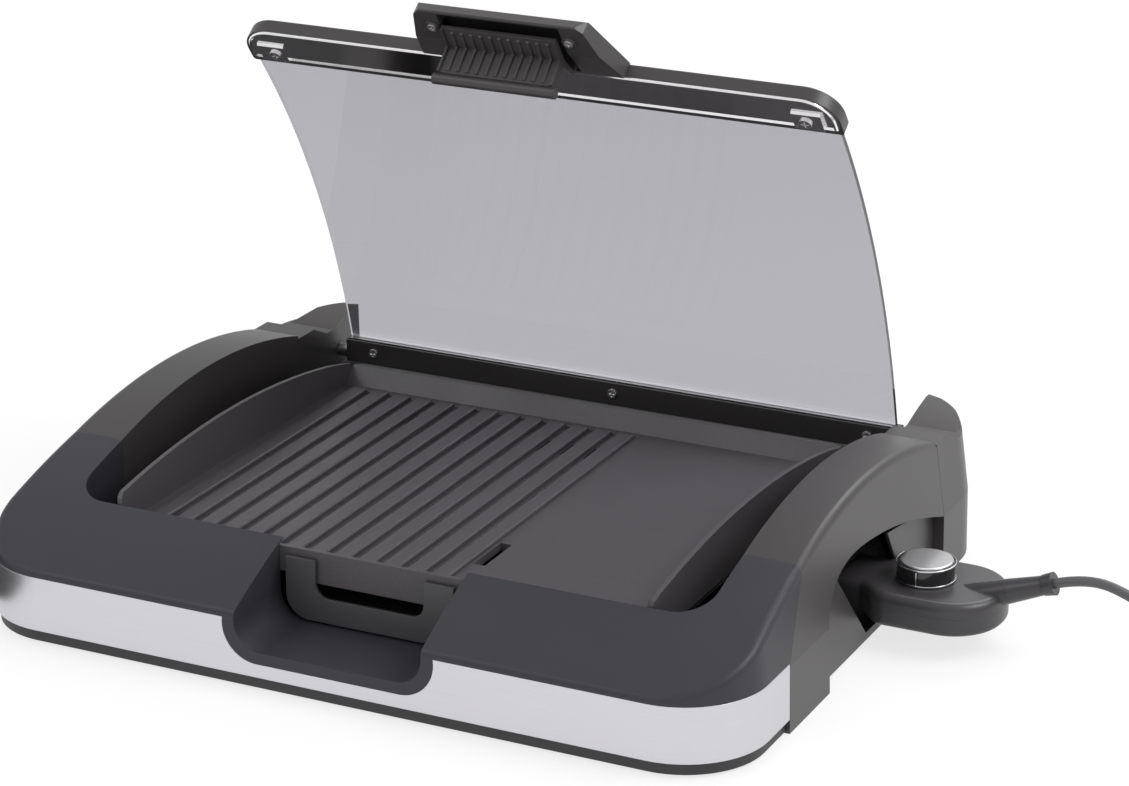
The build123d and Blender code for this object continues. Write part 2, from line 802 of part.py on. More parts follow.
def make_element():
    """Round bent rod in one piece, with both cold ends reaching out as contact pins."""
    back = thermostat_y + terminal_spacing / 2
    front = thermostat_y - terminal_spacing / 2
    rise_x = terminal_rise_x
    fold_x = element_right_x - 60.0
    fold_y = 5.0
    fold_depth = 60.0
    route = [
        (terminal_end_x, back, terminal_z),
        (rise_x, back, terminal_z),
        (rise_x - 26, back, element_z),
        (element_right_x, back, element_z),
        (element_right_x, element_rear_y, element_z),
        (element_left_x, element_rear_y, element_z),
        (element_left_x, fold_y, element_z),
        (fold_x, fold_y, element_z),
        (fold_x, fold_y - fold_depth, element_z),
        (element_left_x, fold_y - fold_depth, element_z),
        (element_left_x, element_front_y, element_z),
        (element_right_x, element_front_y, element_z),
        (element_right_x, front, element_z),
        (rise_x - 26, front, element_z),
        (rise_x, front, terminal_z),
        (terminal_end_x, front, terminal_z),
    ]
    path = FilletPolyline(*route, radius=element_bend * 0.7)
    section = Plane(origin=route[0], z_dir=(-1, 0, 0)) * Circle(element_diameter / 2)
    return sweep(section, path=path)


heating_element = make_element()

clamp_places = [(-100.0, element_rear_y), (60.0, element_rear_y), (-100.0, element_front_y), (60.0, element_front_y)]
clamp_channel = element_diameter / 2 + 0.4
clamp_flange_y = clamp_channel + clamp_sheet + clamp_flange / 2


def make_clamps():
    """Bent straps that hold the element against the plate."""
    clamps = Part()
    low = element_z - clamp_channel
    for x, y in clamp_places:
        x0, x1 = x - clamp_length / 2, x + clamp_length / 2
        half = clamp_channel + clamp_sheet
        strap = block(x0, x1, y - half, y + half, low - clamp_sheet, plate_bottom_z)
        strap -= block(x0 - 1, x1 + 1, y - clamp_channel, y + clamp_channel, low, plate_bottom_z + 1)
        for side in (-1, 1):
            y0 = y + side * half
            y1 = y0 + side * clamp_flange
            flange = block(x0, x1, min(y0, y1), max(y0, y1), plate_bottom_z - clamp_sheet, plate_bottom_z)
            strap += flange
            strap -= upright(x, y + side * clamp_flange_y, 0, far, clamp_screw_diameter + 0.2)
        clamps += strap
    return clamps


element_clamps = make_clamps()


def make_clamp_screws():
    """Short screws below the flanges of the straps, up into the plate."""
    screws = Part()
    top = plate_bottom_z - clamp_sheet
    for x, y in clamp_places:
        for side in (-1, 1):
            place = (x, y + side * clamp_flange_y)
            screws += upright(*place, top - 2.0, top, 5.5)
            screws += upright(*place, top, plate_bottom_z + 3.0, clamp_screw_diameter)
    return screws


clamp_screws = make_clamp_screws()
for x, y in clamp_places:
    for side in (-1, 1):
        hole = upright(x, y + side * clamp_flange_y, plate_bottom_z - 1, plate_bottom_z + 3.4, clamp_screw_diameter)
        grill_plate -= hole


def make_reflector():
    """Two sheets that slope to the slot above the drip tray, joined at the front and the back."""
    slope = [(reflector_slot_half_width, reflector_inner_z), (reflector_half_width, reflector_outer_z)]
    under = [(x, z - reflector_sheet) for x, z in reversed(slope)]
    right = front_prism(polygon(slope + under), reflector_front_y, reflector_rear_y)
    lip_z = tray_bottom_z + tray_height + 0.5
    right += block(
        reflector_slot_half_width - reflector_sheet,
        reflector_slot_half_width,
        reflector_front_y,
        reflector_rear_y,
        lip_z,
        reflector_inner_z,
    )
    sheet = right + mirrored(right)
    bridge_z = reflector_inner_z
    for y0, y1 in ((reflector_front_y, reflector_front_y + 12), (reflector_rear_y - 12, reflector_rear_y)):
        half = reflector_slot_half_width
        sheet += block(-half, half, y0, y1, bridge_z - reflector_sheet, bridge_z)
    sheet -= block(reflector_half_width - 28, far, thermostat_y - 26, thermostat_y + 26, 0, far)
    for x in (-rest_x, rest_x):
        for y in (rest_front_y, rest_rear_y):
            sheet -= upright(x, y, 0, far, rest_pin_diameter + 0.6)
    return sheet


heat_reflector = make_reflector()


def make_rests():
    """Shouldered posts: the reflector lies on the shoulders, the plate on the pins."""
    rests = Part()
    slope = (reflector_outer_z - reflector_inner_z) / (reflector_half_width - reflector_slot_half_width)
    inner_edge = rest_x - rest_diameter / 2 - reflector_slot_half_width
    shoulder_z = reflector_inner_z - reflector_sheet + slope * inner_edge
    for x in (-rest_x, rest_x):
        for y in (rest_front_y, rest_rear_y):
            rests += upright(x, y, floor_top_z, shoulder_z, rest_diameter)
            rests += upright(x, y, shoulder_z, plate_bottom_z, rest_pin_diameter)
    return rests


plate_rests = make_rests()


def make_socket():
    """Block on the floor that holds the element's cold ends and the guide of the sensor."""
    x0, x1 = socket_inner_x, socket_outer_x
    half = terminal_spacing / 2 + 14
    socket = block(x0, x1, thermostat_y - half, thermostat_y + half, floor_top_z, terminal_z + 12)
    socket = fillet(socket.edges().filter_by(Axis.X), 2.0)
    for side in (-1, 1):
        y = thermostat_y + side * terminal_spacing / 2
        socket -= along_x(x0 - 1, x1 + 1, y, terminal_z, element_diameter + 0.1)
    sleeve_outer = probe_diameter + 2 * (sleeve_clearance + sleeve_wall)
    return socket - along_x(x0 - 1, x1 + 1, thermostat_y, terminal_z, sleeve_outer)


terminal_socket = make_socket()


def make_probe_sleeve():
    """Guide tube for the thermostat's sensor."""
    inner = probe_diameter + 2 * sleeve_clearance
    outer = inner + 2 * sleeve_wall
    tube = along_x(probe_tip_x + 8, socket_outer_x + 2, thermostat_y, terminal_z, outer)
    return tube - along_x(probe_tip_x, socket_outer_x + 3, thermostat_y, terminal_z, inner)


probe_sleeve = make_probe_sleeve()


# Drip tray
def make_drip_tray():
    """Long tub with a tall front that has a finger cut-out."""
    top = tray_bottom_z + tray_height
    outer = polygon(
        [
            (-tray_half_width, tray_bottom_z),
            (tray_half_width, tray_bottom_z),
            (tray_half_width, top),
            (-tray_half_width, top),
        ]
    )
    outer = fillet(outer.vertices().filter_by(lambda v: v.Y < top - 1), 12.0)
    inner_half = tray_half_width - tray_sheet
    inner_floor = tray_bottom_z + tray_sheet
    inner = polygon(
        [(-inner_half, inner_floor), (inner_half, inner_floor), (inner_half, top + 1), (-inner_half, top + 1)]
    )
    inner = fillet(inner.vertices().filter_by(lambda v: v.Y < top), 12.0 - tray_sheet)
    tub = front_prism(outer, tray_face_rear_y, tray_rear_y)
    tub -= front_prism(inner, tray_face_rear_y, tray_rear_y - tray_sheet)
    half = tray_face_half_width
    low = tray_bottom_z - 0.3
    face = polygon([(-half, low), (half, low), (half, tray_face_top_z), (-half, tray_face_top_z)])
    face = fillet(face.vertices().filter_by(lambda v: v.Y < low + 1), tray_face_radius)
    cut = polygon(
        [
            (-finger_half_width, finger_floor_z),
            (finger_half_width, finger_floor_z),
            (finger_half_width, tray_face_top_z + 9),
            (-finger_half_width, tray_face_top_z + 9),
        ]
    )
    cut = fillet(cut.vertices().filter_by(lambda v: v.Y < tray_face_top_z), finger_radius)
    return tub + front_prism(face - cut, tray_face_front_y, tray_face_rear_y)


drip_tray = make_drip_tray()


def make_runners():
    """Two long ribs on the floor that the drip tray slides on."""
    top = tray_bottom_z - tray_running_gap
    right = block(runner_x, runner_x + runner_width, recess_rear_y + 4, tray_rear_y, floor_top_z, top)
    return right + mirrored(right)


tray_runners = make_runners()


# Lid, drawn in the open pose of the photograph
centre = arc_centre(glass_bottom, glass_middle, glass_top)
glass_radius = hypot(glass_top[0] - centre[0], glass_top[1] - centre[1])
glass_top_angle = atan2(glass_top[1] - centre[1], glass_top[0] - centre[0])
lid_normal = ((centre[0] - glass_top[0]) / glass_radius, (centre[1] - glass_top[1]) / glass_radius)
lid_plane = Plane(origin=(0, *glass_top), x_dir=(1, 0, 0), z_dir=(0, *lid_normal))


def glass_region(grow):
    """Side outline of the curved pane, made thicker and longer by grow."""

    def at(point, radius):
        scale = radius / glass_radius
        return (centre[0] + (point[0] - centre[0]) * scale, centre[1] + (point[1] - centre[1]) * scale)

    outer = glass_radius + glass_thickness / 2 + grow
    inner = glass_radius - glass_thickness / 2 - grow
    low = (glass_bottom[0] + 0.2 * grow, glass_bottom[1] - grow)
    end_angle = glass_top_angle + (glass_reach + grow) / glass_radius
    high = (centre[0] + glass_radius * cos(end_angle), centre[1] + glass_radius * sin(end_angle))
    outline = ThreePointArc(at(low, outer), at(glass_middle, outer), at(high, outer))
    outline += Line(at(high, outer), at(high, inner))
    outline += ThreePointArc(at(high, inner), at(glass_middle, inner), at(low, inner))
    outline += Line(at(low, inner), at(low, outer))
    return make_face(outline)


lid_glass = side_prism(glass_region(0), -glass_half_width, glass_half_width)
glass_room = side_prism(glass_region(glass_gap), -glass_half_width - glass_gap, glass_half_width + glass_gap)


def lid_block(x0, x1, t0, t1, n0, n1):
    """A box in the lid's top plane: t runs up the glass, n to its inner side."""
    return lid_plane * block(x0, x1, t0, t1, n0, n1)


def lid_profile(face, x0, x1):
    """A face drawn in (t, n) and extruded along X from x0 to x1."""
    plane = Plane(origin=(x0, *glass_top), x_dir=(0, lid_plane.y_dir.Y, lid_plane.y_dir.Z), z_dir=(1, 0, 0))
    return extrude(plane * face, x1 - x0)


def lid_outline(half_width, t0, t1, top_radius, foot_radius):
    """A long bar's outline with large upper and small lower corners."""
    face = polygon([(-half_width, t0), (half_width, t0), (half_width, t1), (-half_width, t1)])
    face = fillet(face.vertices().filter_by(lambda v: v.Y > t1 - 1), top_radius)
    return fillet(face.vertices().filter_by(lambda v: v.Y < t0 + 0.1), foot_radius)


def lid_slab(face, n0, n1):
    """An outline in the lid's top plane, extruded from n0 to n1."""
    return lid_plane * Pos(0, 0, n0) * extrude(face, n1 - n0)


def make_top_frame():
    """Moulded bar round the glass's upper edge."""
    bar = lid_slab(
        lid_outline(frame_half_width, frame_low, frame_high, frame_corner, frame_foot_corner), frame_back, frame_face
    )
    ends = bar.faces().sort_by(lambda f: (f.center() - lid_plane.origin).dot(lid_plane.z_dir))
    bar = fillet(ends[0].edges(), frame_round)
    return bar - glass_room


top_frame = make_top_frame()


def make_liner():
    """Polished plate on the frame's inner side, with a bevelled rim round its floor."""
    rim_n = frame_face + liner_depth
    plate = lid_slab(lid_outline(liner_half_width, liner_low, liner_high, liner_corner, 1.0), frame_face, rim_n)
    front = plate.faces().sort_by(lambda f: (f.center() - lid_plane.origin).dot(lid_plane.z_dir))[-1]
    upper = [e for e in front.edges() if (e.center() - lid_plane.origin).dot(lid_plane.y_dir) > liner_low + 10]
    plate = chamfer(upper, liner_depth / 2)
    edge = 0.4
    wide = lid_outline(
        liner_half_width - liner_depth / 2 - edge,
        liner_low + edge,
        liner_high - liner_depth / 2 - edge,
        liner_corner - liner_depth / 2 - edge,
        1.0,
    )
    narrow = lid_outline(
        liner_half_width - liner_bevel, liner_low + liner_bevel, liner_high - liner_bevel, liner_corner - liner_bevel, 1.0
    )
    pocket = loft([Pos(0, 0, frame_face + liner_sheet) * narrow, Pos(0, 0, rim_n) * wide], ruled=True)
    return plate - lid_plane * pocket


frame_liner = make_liner()
clip_floor = frame_face + liner_sheet


def make_clips():
    """Small brackets on the liner near both ends."""
    clips = Part()
    for side in (-1, 1):
        x = side * clip_x
        ends = sorted((x - side * 9.5, x + side * 13.0))
        clip = block(*ends, liner_low, liner_low + clip_height, clip_floor, clip_floor + clip_thickness)
        top = clip.edges().filter_by(Axis.X).filter_by(lambda e: e.center().Z > clip_floor + 1)
        clip = lid_plane * chamfer(top.sort_by(Axis.Y)[-1], 1.5)
        clips += clip - frame_liner - lid_plane * upright(x, clip_t, 0, far, 3.2)
    return clips


frame_clips = make_clips()


def cross_screw(x, t, n_head, head_diameter, head_height, shank_length):
    """A screw across the lid with a cross in its head."""
    screw = upright(x, t, n_head, n_head + head_height, head_diameter)
    screw += upright(x, t, n_head - shank_length, n_head, 3.0)
    reach = head_diameter * 0.32
    top = n_head + head_height
    screw -= block(x - reach, x + reach, t - 0.5, t + 0.5, top - 0.8, top + 1)
    screw -= block(x - 0.5, x + 0.5, t - reach, t + reach, top - 0.8, top + 1)
    return lid_plane * screw


clip_screws = Part()
for x in (-clip_x, clip_x):
    clip_screws += cross_screw(x, clip_t, clip_floor + clip_thickness, 9.6, 1.6, 2.4)


def pocket_floor(t):
    """Depth n of the hood's inner face behind the pocket."""
    (t0, n0), (t1, n1) = hood_back[:2]
    slope = (n1 - n0) / (t1 - t0)
    return n0 + slope * (t - t0) + hood_wall * sqrt(1 + slope**2)


def lid_trapezoid(outline):
    """A symmetrical outline through (x, t) points of its right side, extruded across the lid."""
    face = polygon(outline + [(-x, t) for x, t in reversed(outline)])
    return lid_plane * Pos(0, 0, -far) * extrude(face, 2 * far)


def make_hood():
    """Raised middle of the frame: a shell with two ears and an overhanging top rim round the pocket."""
    wide = hood_outline[0][0] + 1
    solid = lid_profile(polygon(hood_back + hood_front), -wide, wide) & lid_trapezoid(hood_outline)
    low_n = pocket_floor(pocket_low)
    high_n = pocket_floor(98.6)
    room = [(pocket_low, low_n), (98.6, high_n), (pocket_high, 12.6), (pocket_high, 30.0), (pocket_low, 30.0)]
    solid -= lid_profile(polygon(room), -pocket_half_width, pocket_half_width)
    ear_room = [(pocket_low + 1.5, pocket_floor(pocket_low + 1.5)), (98.6, high_n), (101.0, 9.2), (75.3, 10.1)]
    ear_room.append((pocket_low + 1.5, 3.4))
    inside = [(x - 4.0, t) for x, t in hood_outline]
    solid -= lid_profile(polygon(ear_room), -wide, wide) & lid_trapezoid(inside)
    for x in (-ear_x, ear_x):
        solid += lid_plane * upright(x, ear_screw_t, pocket_floor(ear_screw_t) - 1, ear_boss_n, 11.0)
        solid -= lid_plane * upright(x, ear_screw_t, ear_boss_n - 8, ear_boss_n + 1, 3.2)
    return solid


handle_hood = make_hood()


def make_grip():
    """Scoop for the fingers: back wall with ribs, floor, a round bar along its edge and a foot in the hood."""
    foot_t = 50.0
    inner = [(grip_top, 16.5), (74.5, 18.5), (72.6, 40.5)]
    outer = [(66.3, 40.3), (69.2, 19.8), (foot_t, 12.8), (foot_t, pocket_floor(foot_t))]
    behind = [(foot_t + 3, pocket_floor(foot_t + 3)), (foot_t + 3, 10.7), (70.6, 15.4), (grip_top, 16.5 - grip_wall)]
    grip = lid_profile(polygon(inner + outer + behind), -grip_half_width, grip_half_width)
    bar = Plane(origin=(-grip_lip_half_width, *glass_top), x_dir=(0, lid_plane.y_dir.Y, lid_plane.y_dir.Z), z_dir=(1, 0, 0))
    grip += extrude(bar * Pos(*grip_lip) * Circle(grip_lip_radius), 2 * grip_lip_half_width)
    cheek = polygon([(grip_top, 15.5), (73.5, 17.5), (71.6, 40.5), (74.4, 40.5), (76.3, 20.2), (grip_top, 18.3)])
    for x in (-grip_half_width, grip_half_width - cheek_width):
        grip += lid_profile(cheek, x, x + cheek_width)
    rib = polygon([(90.0, 15.5), (73.5, 17.5), (71.8, 39.0), (74.1, 38.8), (75.9, 19.8), (89.4, 18.0)])
    for i in range(grip_rib_count):
        x = (i - (grip_rib_count - 1) / 2) * grip_rib_pitch
        grip += lid_profile(rib, x - grip_rib_width / 2, x + grip_rib_width / 2)
    return grip


handle_grip = make_grip()

handle_screws = Part()
for x in (-ear_x, ear_x):
    handle_screws += cross_screw(x, ear_screw_t, ear_boss_n, 7.0, 1.5, 7.5)


def rail_half(y0, y1, round_y):
    """One half of the hinged rail, with the seats of the glass, the pins and the screws."""
    rail = block(-rail_half_width, rail_half_width, y0, y1, rail_bottom_z, rail_top_z)
    outer_edges = [e for e in rail.edges().filter_by(Axis.X) if abs(e.center().Y - round_y) < 0.1]
    rail = fillet(outer_edges, 1.5)
    rail -= glass_room
    for side in (-1, 1):
        end = side * (rail_half_width + 1)
        start = side * (rail_half_width - rail_bore_length)
        rail -= along_x(min(start, end), max(start, end), hinge_y, hinge_z, pin_diameter)
    for x in (-rail_screw_x, 0, rail_screw_x):
        rail -= along_y(x, 0, rail_rear_y - 2, rail_screw_z, 3.2)
    return rail


rail_front = rail_half(rail_front_y, hinge_y, rail_front_y)
rail_back = rail_half(hinge_y, rail_rear_y, rail_rear_y)


def make_rail_trim():
    """Bright strip along the top of the rail, in front of the glass."""
    strip_rear = rail_front_y + 3.4
    half = rail_half_width - 2
    strip = block(-half, half, rail_front_y, strip_rear, rail_top_z, rail_top_z + rail_trim_height)
    return strip - glass_room


rail_trim = make_rail_trim()


def make_rail_screws():
    """Screws that clamp the two halves of the rail."""
    screws = Part()
    for x in (-rail_screw_x, 0, rail_screw_x):
        screw = along_y(x, rail_front_y - 1.5, rail_front_y, rail_screw_z, 7.5)
        screw += along_y(x, rail_front_y, rail_rear_y - 3, rail_screw_z, 3.0)
        front = rail_front_y - 2
        screw -= block(x - 2.4, x + 2.4, front, front + 1.2, rail_screw_z - 0.5, rail_screw_z + 0.5)
        screw -= block(x - 0.5, x + 0.5, front, front + 1.2, rail_screw_z - 2.4, rail_screw_z + 2.4)
        screws += screw
    return screws


rail_screws = make_rail_screws()


def make_pins():
    """Hinge pins from the rail's ends into the bushes."""
    start = rail_half_width - rail_bore_length
    end = opening_half_width + wall + boss_length
    right = along_x(start, end, hinge_y, hinge_z, pin_diameter - 0.02)
    right += along_x(rail_half_width + 0.5, opening_half_width - 0.5, hinge_y, hinge_z, bush_diameter)
    return right + mirrored(right)


hinge_pins = make_pins()


# Thermostat
def body_plan(inset):
    """Plan of the thermostat: a straight neck that widens to an egg shape."""
    x0 = thermostat_face_x + inset
    neck = neck_half_width - inset
    wide = body_half_width - inset
    end = body_end_x - inset
    upper = Spline((neck_end_x, neck), (body_wide_x, wide), tangents=[(1, 0.4), (1, 0)])
    upper += Line((body_wide_x, wide), (body_round_x, wide))
    upper += Spline((body_round_x, wide), (end - 14, 0.78 * wide), (end, 0), tangents=[(1, 0), (0, -1)])
    lower = Spline((end, 0), (end - 14, -0.78 * wide), (body_round_x, -wide), tangents=[(0, -1), (-1, 0)])
    lower += Line((body_round_x, -wide), (body_wide_x, -wide))
    lower += Spline((body_wide_x, -wide), (neck_end_x, -neck), tangents=[(-1, 0), (-1, 0.4)])
    ends = Polyline((neck_end_x, -neck), (x0, -neck), (x0, neck), (neck_end_x, neck))
    return Pos(0, thermostat_y) * make_face(upper + lower + ends)


tail_dir = Vector(cos(radians(tail_angle)), 0, sin(radians(tail_angle)))
tail_point = Vector(tail_x, thermostat_y, tail_z)


def tail_cone(length, radius_low, radius_high, start):
    """A cone along the cord's exit; start is its distance from the tail's end face."""
    plane = Plane(origin=tail_point + tail_dir * start, z_dir=tail_dir)
    profile = Polyline((0, 0), (radius_low, 0), (radius_high, length), (0, length), close=True)
    return plane * revolve(Plane.XZ * make_face(profile), axis=Axis.Z)


def make_thermostat_shell():
    """Outside of the whole thermostat with its rising tail."""
    shell = plan_prism(body_plan(0), body_bottom_z, body_top_z)
    top_edges = shell.edges().group_by(Axis.Z)[-1]
    shell = fillet(top_edges, body_round)
    bottom_edges = shell.edges().group_by(Axis.Z)[0]
    shell = fillet(bottom_edges, body_round * 0.7)
    return shell + tail_cone(34.0, tail_radius + 1.2, tail_radius, -34.0)


thermostat_shell = make_thermostat_shell()
thermostat_room = plan_prism(body_plan(body_wall), body_bottom_z + body_wall, body_top_z - body_wall)
upper_half = block(0, 2 * far, -far, far, body_split_z, far)
lower_half = block(0, 2 * far, -far, far, -far, body_split_z)
pin_places = [thermostat_y - terminal_spacing / 2, thermostat_y + terminal_spacing / 2]
contact_outer = element_diameter + 2 * (contact_clearance + contact_wall)
face_bore = (thermostat_face_x - 1, thermostat_face_x + 12)
face_holes = along_x(*face_bore, thermostat_y, terminal_z, probe_diameter)
for y in pin_places:
    face_holes += along_x(*face_bore, y, terminal_z, contact_outer)
front_screw_x = thermostat_face_x + 38.0
rear_screw_x = thermostat_face_x + 94.0
thermostat_screw_places = [(front_screw_x, thermostat_y + dy) for dy in (-21, 21)] + [(rear_screw_x, thermostat_y)]


def make_thermostat_top():
    """Upper half, with the seat and the bore for the dial's shaft and bosses for the screws."""
    top = (thermostat_shell & upper_half) - thermostat_room
    for x, y in thermostat_screw_places:
        top += upright(x, y, body_split_z, body_top_z - 1, 7.0)
        top -= upright(x, y, body_split_z - 1, body_split_z + 6, 2.8)
    top -= upright(knob_x, thermostat_y, body_split_z, far, shaft_diameter + 2 * shaft_clearance)
    return top - face_holes


def make_thermostat_bottom():
    """Lower half."""
    bottom = (thermostat_shell & lower_half) - thermostat_room
    for x, y in thermostat_screw_places:
        bottom += upright(x, y, body_bottom_z + 1, body_split_z, 7.0)
        bottom -= upright(x, y, 0, body_split_z + 1, 3.2)
        bottom -= upright(x, y, 0, body_bottom_z + 2, 6.0)
    return bottom - face_holes


thermostat_top = make_thermostat_top()
thermostat_bottom = make_thermostat_bottom()
thermostat_screws = Part()
for x, y in thermostat_screw_places:
    thermostat_screws += upright(x, y, body_bottom_z + 0.6, body_bottom_z + 2, 5.6)
    thermostat_screws += upright(x, y, body_bottom_z + 2, body_split_z + 5, 2.8)

thermostat_probe = along_x(probe_tip_x, switch_front_x, thermostat_y, terminal_z, probe_diameter)
switch_block = block(switch_front_x, knob_x - 8, thermostat_y - 17, thermostat_y + 17, body_bottom_z + body_wall, 38.0)


def make_contacts():
    """Spring sleeves that take the element's cold ends."""
    sleeves = Part()
    for y in pin_places:
        sleeve = along_x(thermostat_face_x + 1, switch_front_x, y, terminal_z, contact_outer)
        sleeve -= along_x(0, switch_front_x - 4, y, terminal_z, element_diameter + 2 * contact_clearance)
        sleeves += sleeve
    return sleeves


contact_sleeves = make_contacts()


def make_strain_relief():
    """Smooth tapered boot that ends in a collar."""
    boot = tail_cone(relief_length - relief_collar, tail_radius, relief_waist_radius, 0.0)
    return boot + tail_cone(relief_collar, relief_waist_radius + 0.7, relief_collar_radius, relief_length - relief_collar)


strain_relief = make_strain_relief()

# Dial
knob_bottom_z = body_top_z + knob_gap


def make_knob():
    """Round dial with a pointer groove in its side."""
    top = knob_bottom_z + knob_height
    knob = upright(knob_x, thermostat_y, knob_bottom_z, top, knob_diameter)
    knob = fillet(knob.edges().group_by(Axis.Z)[-1], 1.0)
    front = thermostat_y - knob_diameter / 2
    knob -= block(knob_x - 0.8, knob_x + 0.8, front - 1, front + 0.8, knob_bottom_z + 2, top + 1)
    knob -= upright(knob_x, thermostat_y, 0, knob_bottom_z + 8, shaft_diameter)
    return knob


dial_knob = make_knob()
dial_top_z = knob_bottom_z + knob_height
dial_cap = upright(knob_x, thermostat_y, dial_top_z, dial_top_z + knob_cap_height, knob_diameter - 3)
dial_cap = fillet(dial_cap.edges().group_by(Axis.Z)[-1], 0.8)
dial_shaft = upright(knob_x, thermostat_y, 39.5, knob_bottom_z + 8, shaft_diameter)

# Cord from the thermostat to the coil
cord_start = tail_point + tail_dir * relief_length
coil_z = cord_diameter / 2 + coil_lift
upper_z = coil_z + coil_layer
first_bend = cord_start + tail_dir * 26.0
cord_route = [
    (cord_start.X, cord_start.Y, cord_start.Z),
    (first_bend.X, first_bend.Y, first_bend.Z),
    (tail_x + 89.0, thermostat_y, 58.5),
    (tail_x + 125.0, thermostat_y, 38.0),
    (tail_x + 163.0, thermostat_y, upper_z),
    (tail_x + 203.0, thermostat_y, upper_z),
]
coil_end_x = tail_x + 203.0 + 2 * cord_diameter
coil_end_y = thermostat_y + coil_pitch
tail_route = [
    (coil_end_x, coil_end_y, coil_z),
    (coil_end_x + 22.0, coil_end_y, coil_z),
    (coil_end_x + 55.0, coil_end_y, plug_radius),
    (coil_end_x + 77.0, coil_end_y, plug_radius),
]


def bend_radii(route):
    """The radius at each corner: 0.45 of its shorter run over the tangent of half the turn."""
    points = [Vector(*p) for p in route]
    radii = []
    for a, b, c in zip(points, points[1:], points[2:]):
        turn = (b - a).get_angle(c - b)
        radii.append(0.45 * min((b - a).length, (c - b).length) / tan(radians(turn / 2)))
    return radii


def cord_tube(route, name):
    """A round tube along straight runs and tangent arcs."""
    radii = bend_radii(route)
    print(name, "radii", [round(r, 1) for r in radii])
    path = FilletPolyline(*route, radius=radii)
    start = Vector(*route[0])
    direction = Vector(*route[1]) - start
    tube = sweep(Plane(origin=start, z_dir=direction) * Circle(cord_diameter / 2), path=path)
    expected = pi * cord_diameter**2 / 4 * path.length
    print(name, "length", round(path.length, 1), "volume over section times length", round(tube.volume / expected, 5))
    return tube


mains_cord = cord_tube(cord_route, "mains_cord")
cord_tail = cord_tube(tail_route, "cord_tail")


def coil_path():
    """Half turns that spiral in, change layer in one climbing half turn, and spiral out again."""
    x = cord_route[-1][0] + cord_diameter
    y = cord_route[-1][1]
    z = upper_z
    edges = [Line(cord_route[-1], (x, y, z))]
    radius = coil_radius
    side = 1  # 1 while the half turn goes from the far side to the near one
    for k in range(coil_half_turns_in):
        centre_y = y - side * radius
        edges.append(ThreePointArc((x, y, z), (x + side * radius, centre_y, z), (x, y - side * 2 * radius, z)))
        y -= side * 2 * radius
        side = -side
        radius -= coil_pitch / 2
    end_y = y - side * 2 * radius
    middle_z = z - coil_layer / 2
    half_span = hypot(radius, coil_layer / 2)
    middle = Vector(x + side * half_span, y - side * radius, middle_z)
    for start, end in (((x, y, z), middle), (middle, (x, end_y, coil_z))):
        edges.append(quarter_arc(Vector(*start), Vector(*end), Vector(x, (y + end_y) / 2, middle_z)))
    y, z = end_y, coil_z
    side = -side
    for k in range(coil_half_turns_out):
        radius += coil_pitch / 2
        centre_y = y - side * radius
        edges.append(ThreePointArc((x, y, z), (x + side * radius, centre_y, z), (x, y - side * 2 * radius, z)))
        y -= side * 2 * radius
        side = -side
    edges.append(Line((x, y, z), (x + cord_diameter, y, z)))
    return Wire(edges)


def quarter_arc(start, end, centre):
    """A quarter turn about a centre, from start to end."""
    middle = ((start - centre) + (end - centre)).normalized() * (start - centre).length + centre
    return ThreePointArc(start, middle, end)


def least_gap(path):
    """Smallest clear space between parts of the cord that aren't neighbours along it."""
    count = 700
    points = [path.position_at(i / count) for i in range(count + 1)]
    step = path.length / count
    apart = int(3 * cord_diameter / step)
    least = 1e9
    for i, p in enumerate(points):
        for q in points[i + apart :]:
            least = min(least, (p - q).length)
    return least - cord_diameter


coil_wire = coil_path()
coil_section = Plane(origin=cord_route[-1], z_dir=(1, 0, 0)) * Circle(cord_diameter / 2)
cord_coil = sweep(coil_section, path=coil_wire)
print("cord_coil length", round(coil_wire.length, 1), "least gap to itself", round(least_gap(coil_wire), 2))
coil_expected = pi * cord_diameter**2 / 4 * coil_wire.length
print("cord_coil volume over section times length", round(cord_coil.volume / coil_expected, 5))


# Plug
def make_plug():
    """Round earthed plug with a waisted grip, lying on its rim."""
    x, y, z = tail_route[-1]
    profile = Polyline(
        (0, 0),
        (0, 5.2),
        (plug_gland_length, 7.5),
        (plug_gland_length, 12.0),
        (plug_gland_length + 8, 14.5),
        (plug_gland_length + 14, plug_radius),
        (plug_length, plug_radius),
        (plug_length, 0),
        (0, 0),
    )
    body = revolve(Plane.XY * make_face(profile), axis=Axis.X)
    for side in (-1, 1):
        rim = plug_radius - 3
        body -= block(plug_length - 14, plug_length + 1, -3.5, 3.5, side * rim, side * (rim + 10))
        pin = along_x(plug_length - 12, plug_length + 1, side * plug_pin_spacing / 2, 0, plug_pin_diameter)
        body -= pin
    return Pos(x, y, z) * body


mains_plug = make_plug()


def make_plug_pins():
    """Two round contact pins."""
    x, y, z = tail_route[-1]
    pins = Part()
    for side in (-1, 1):
        place = y + side * plug_pin_spacing / 2
        pins += along_x(x + plug_length - 12, x + plug_length + plug_pin_length, place, z, plug_pin_diameter)
    return pins


plug_pins = make_plug_pins()

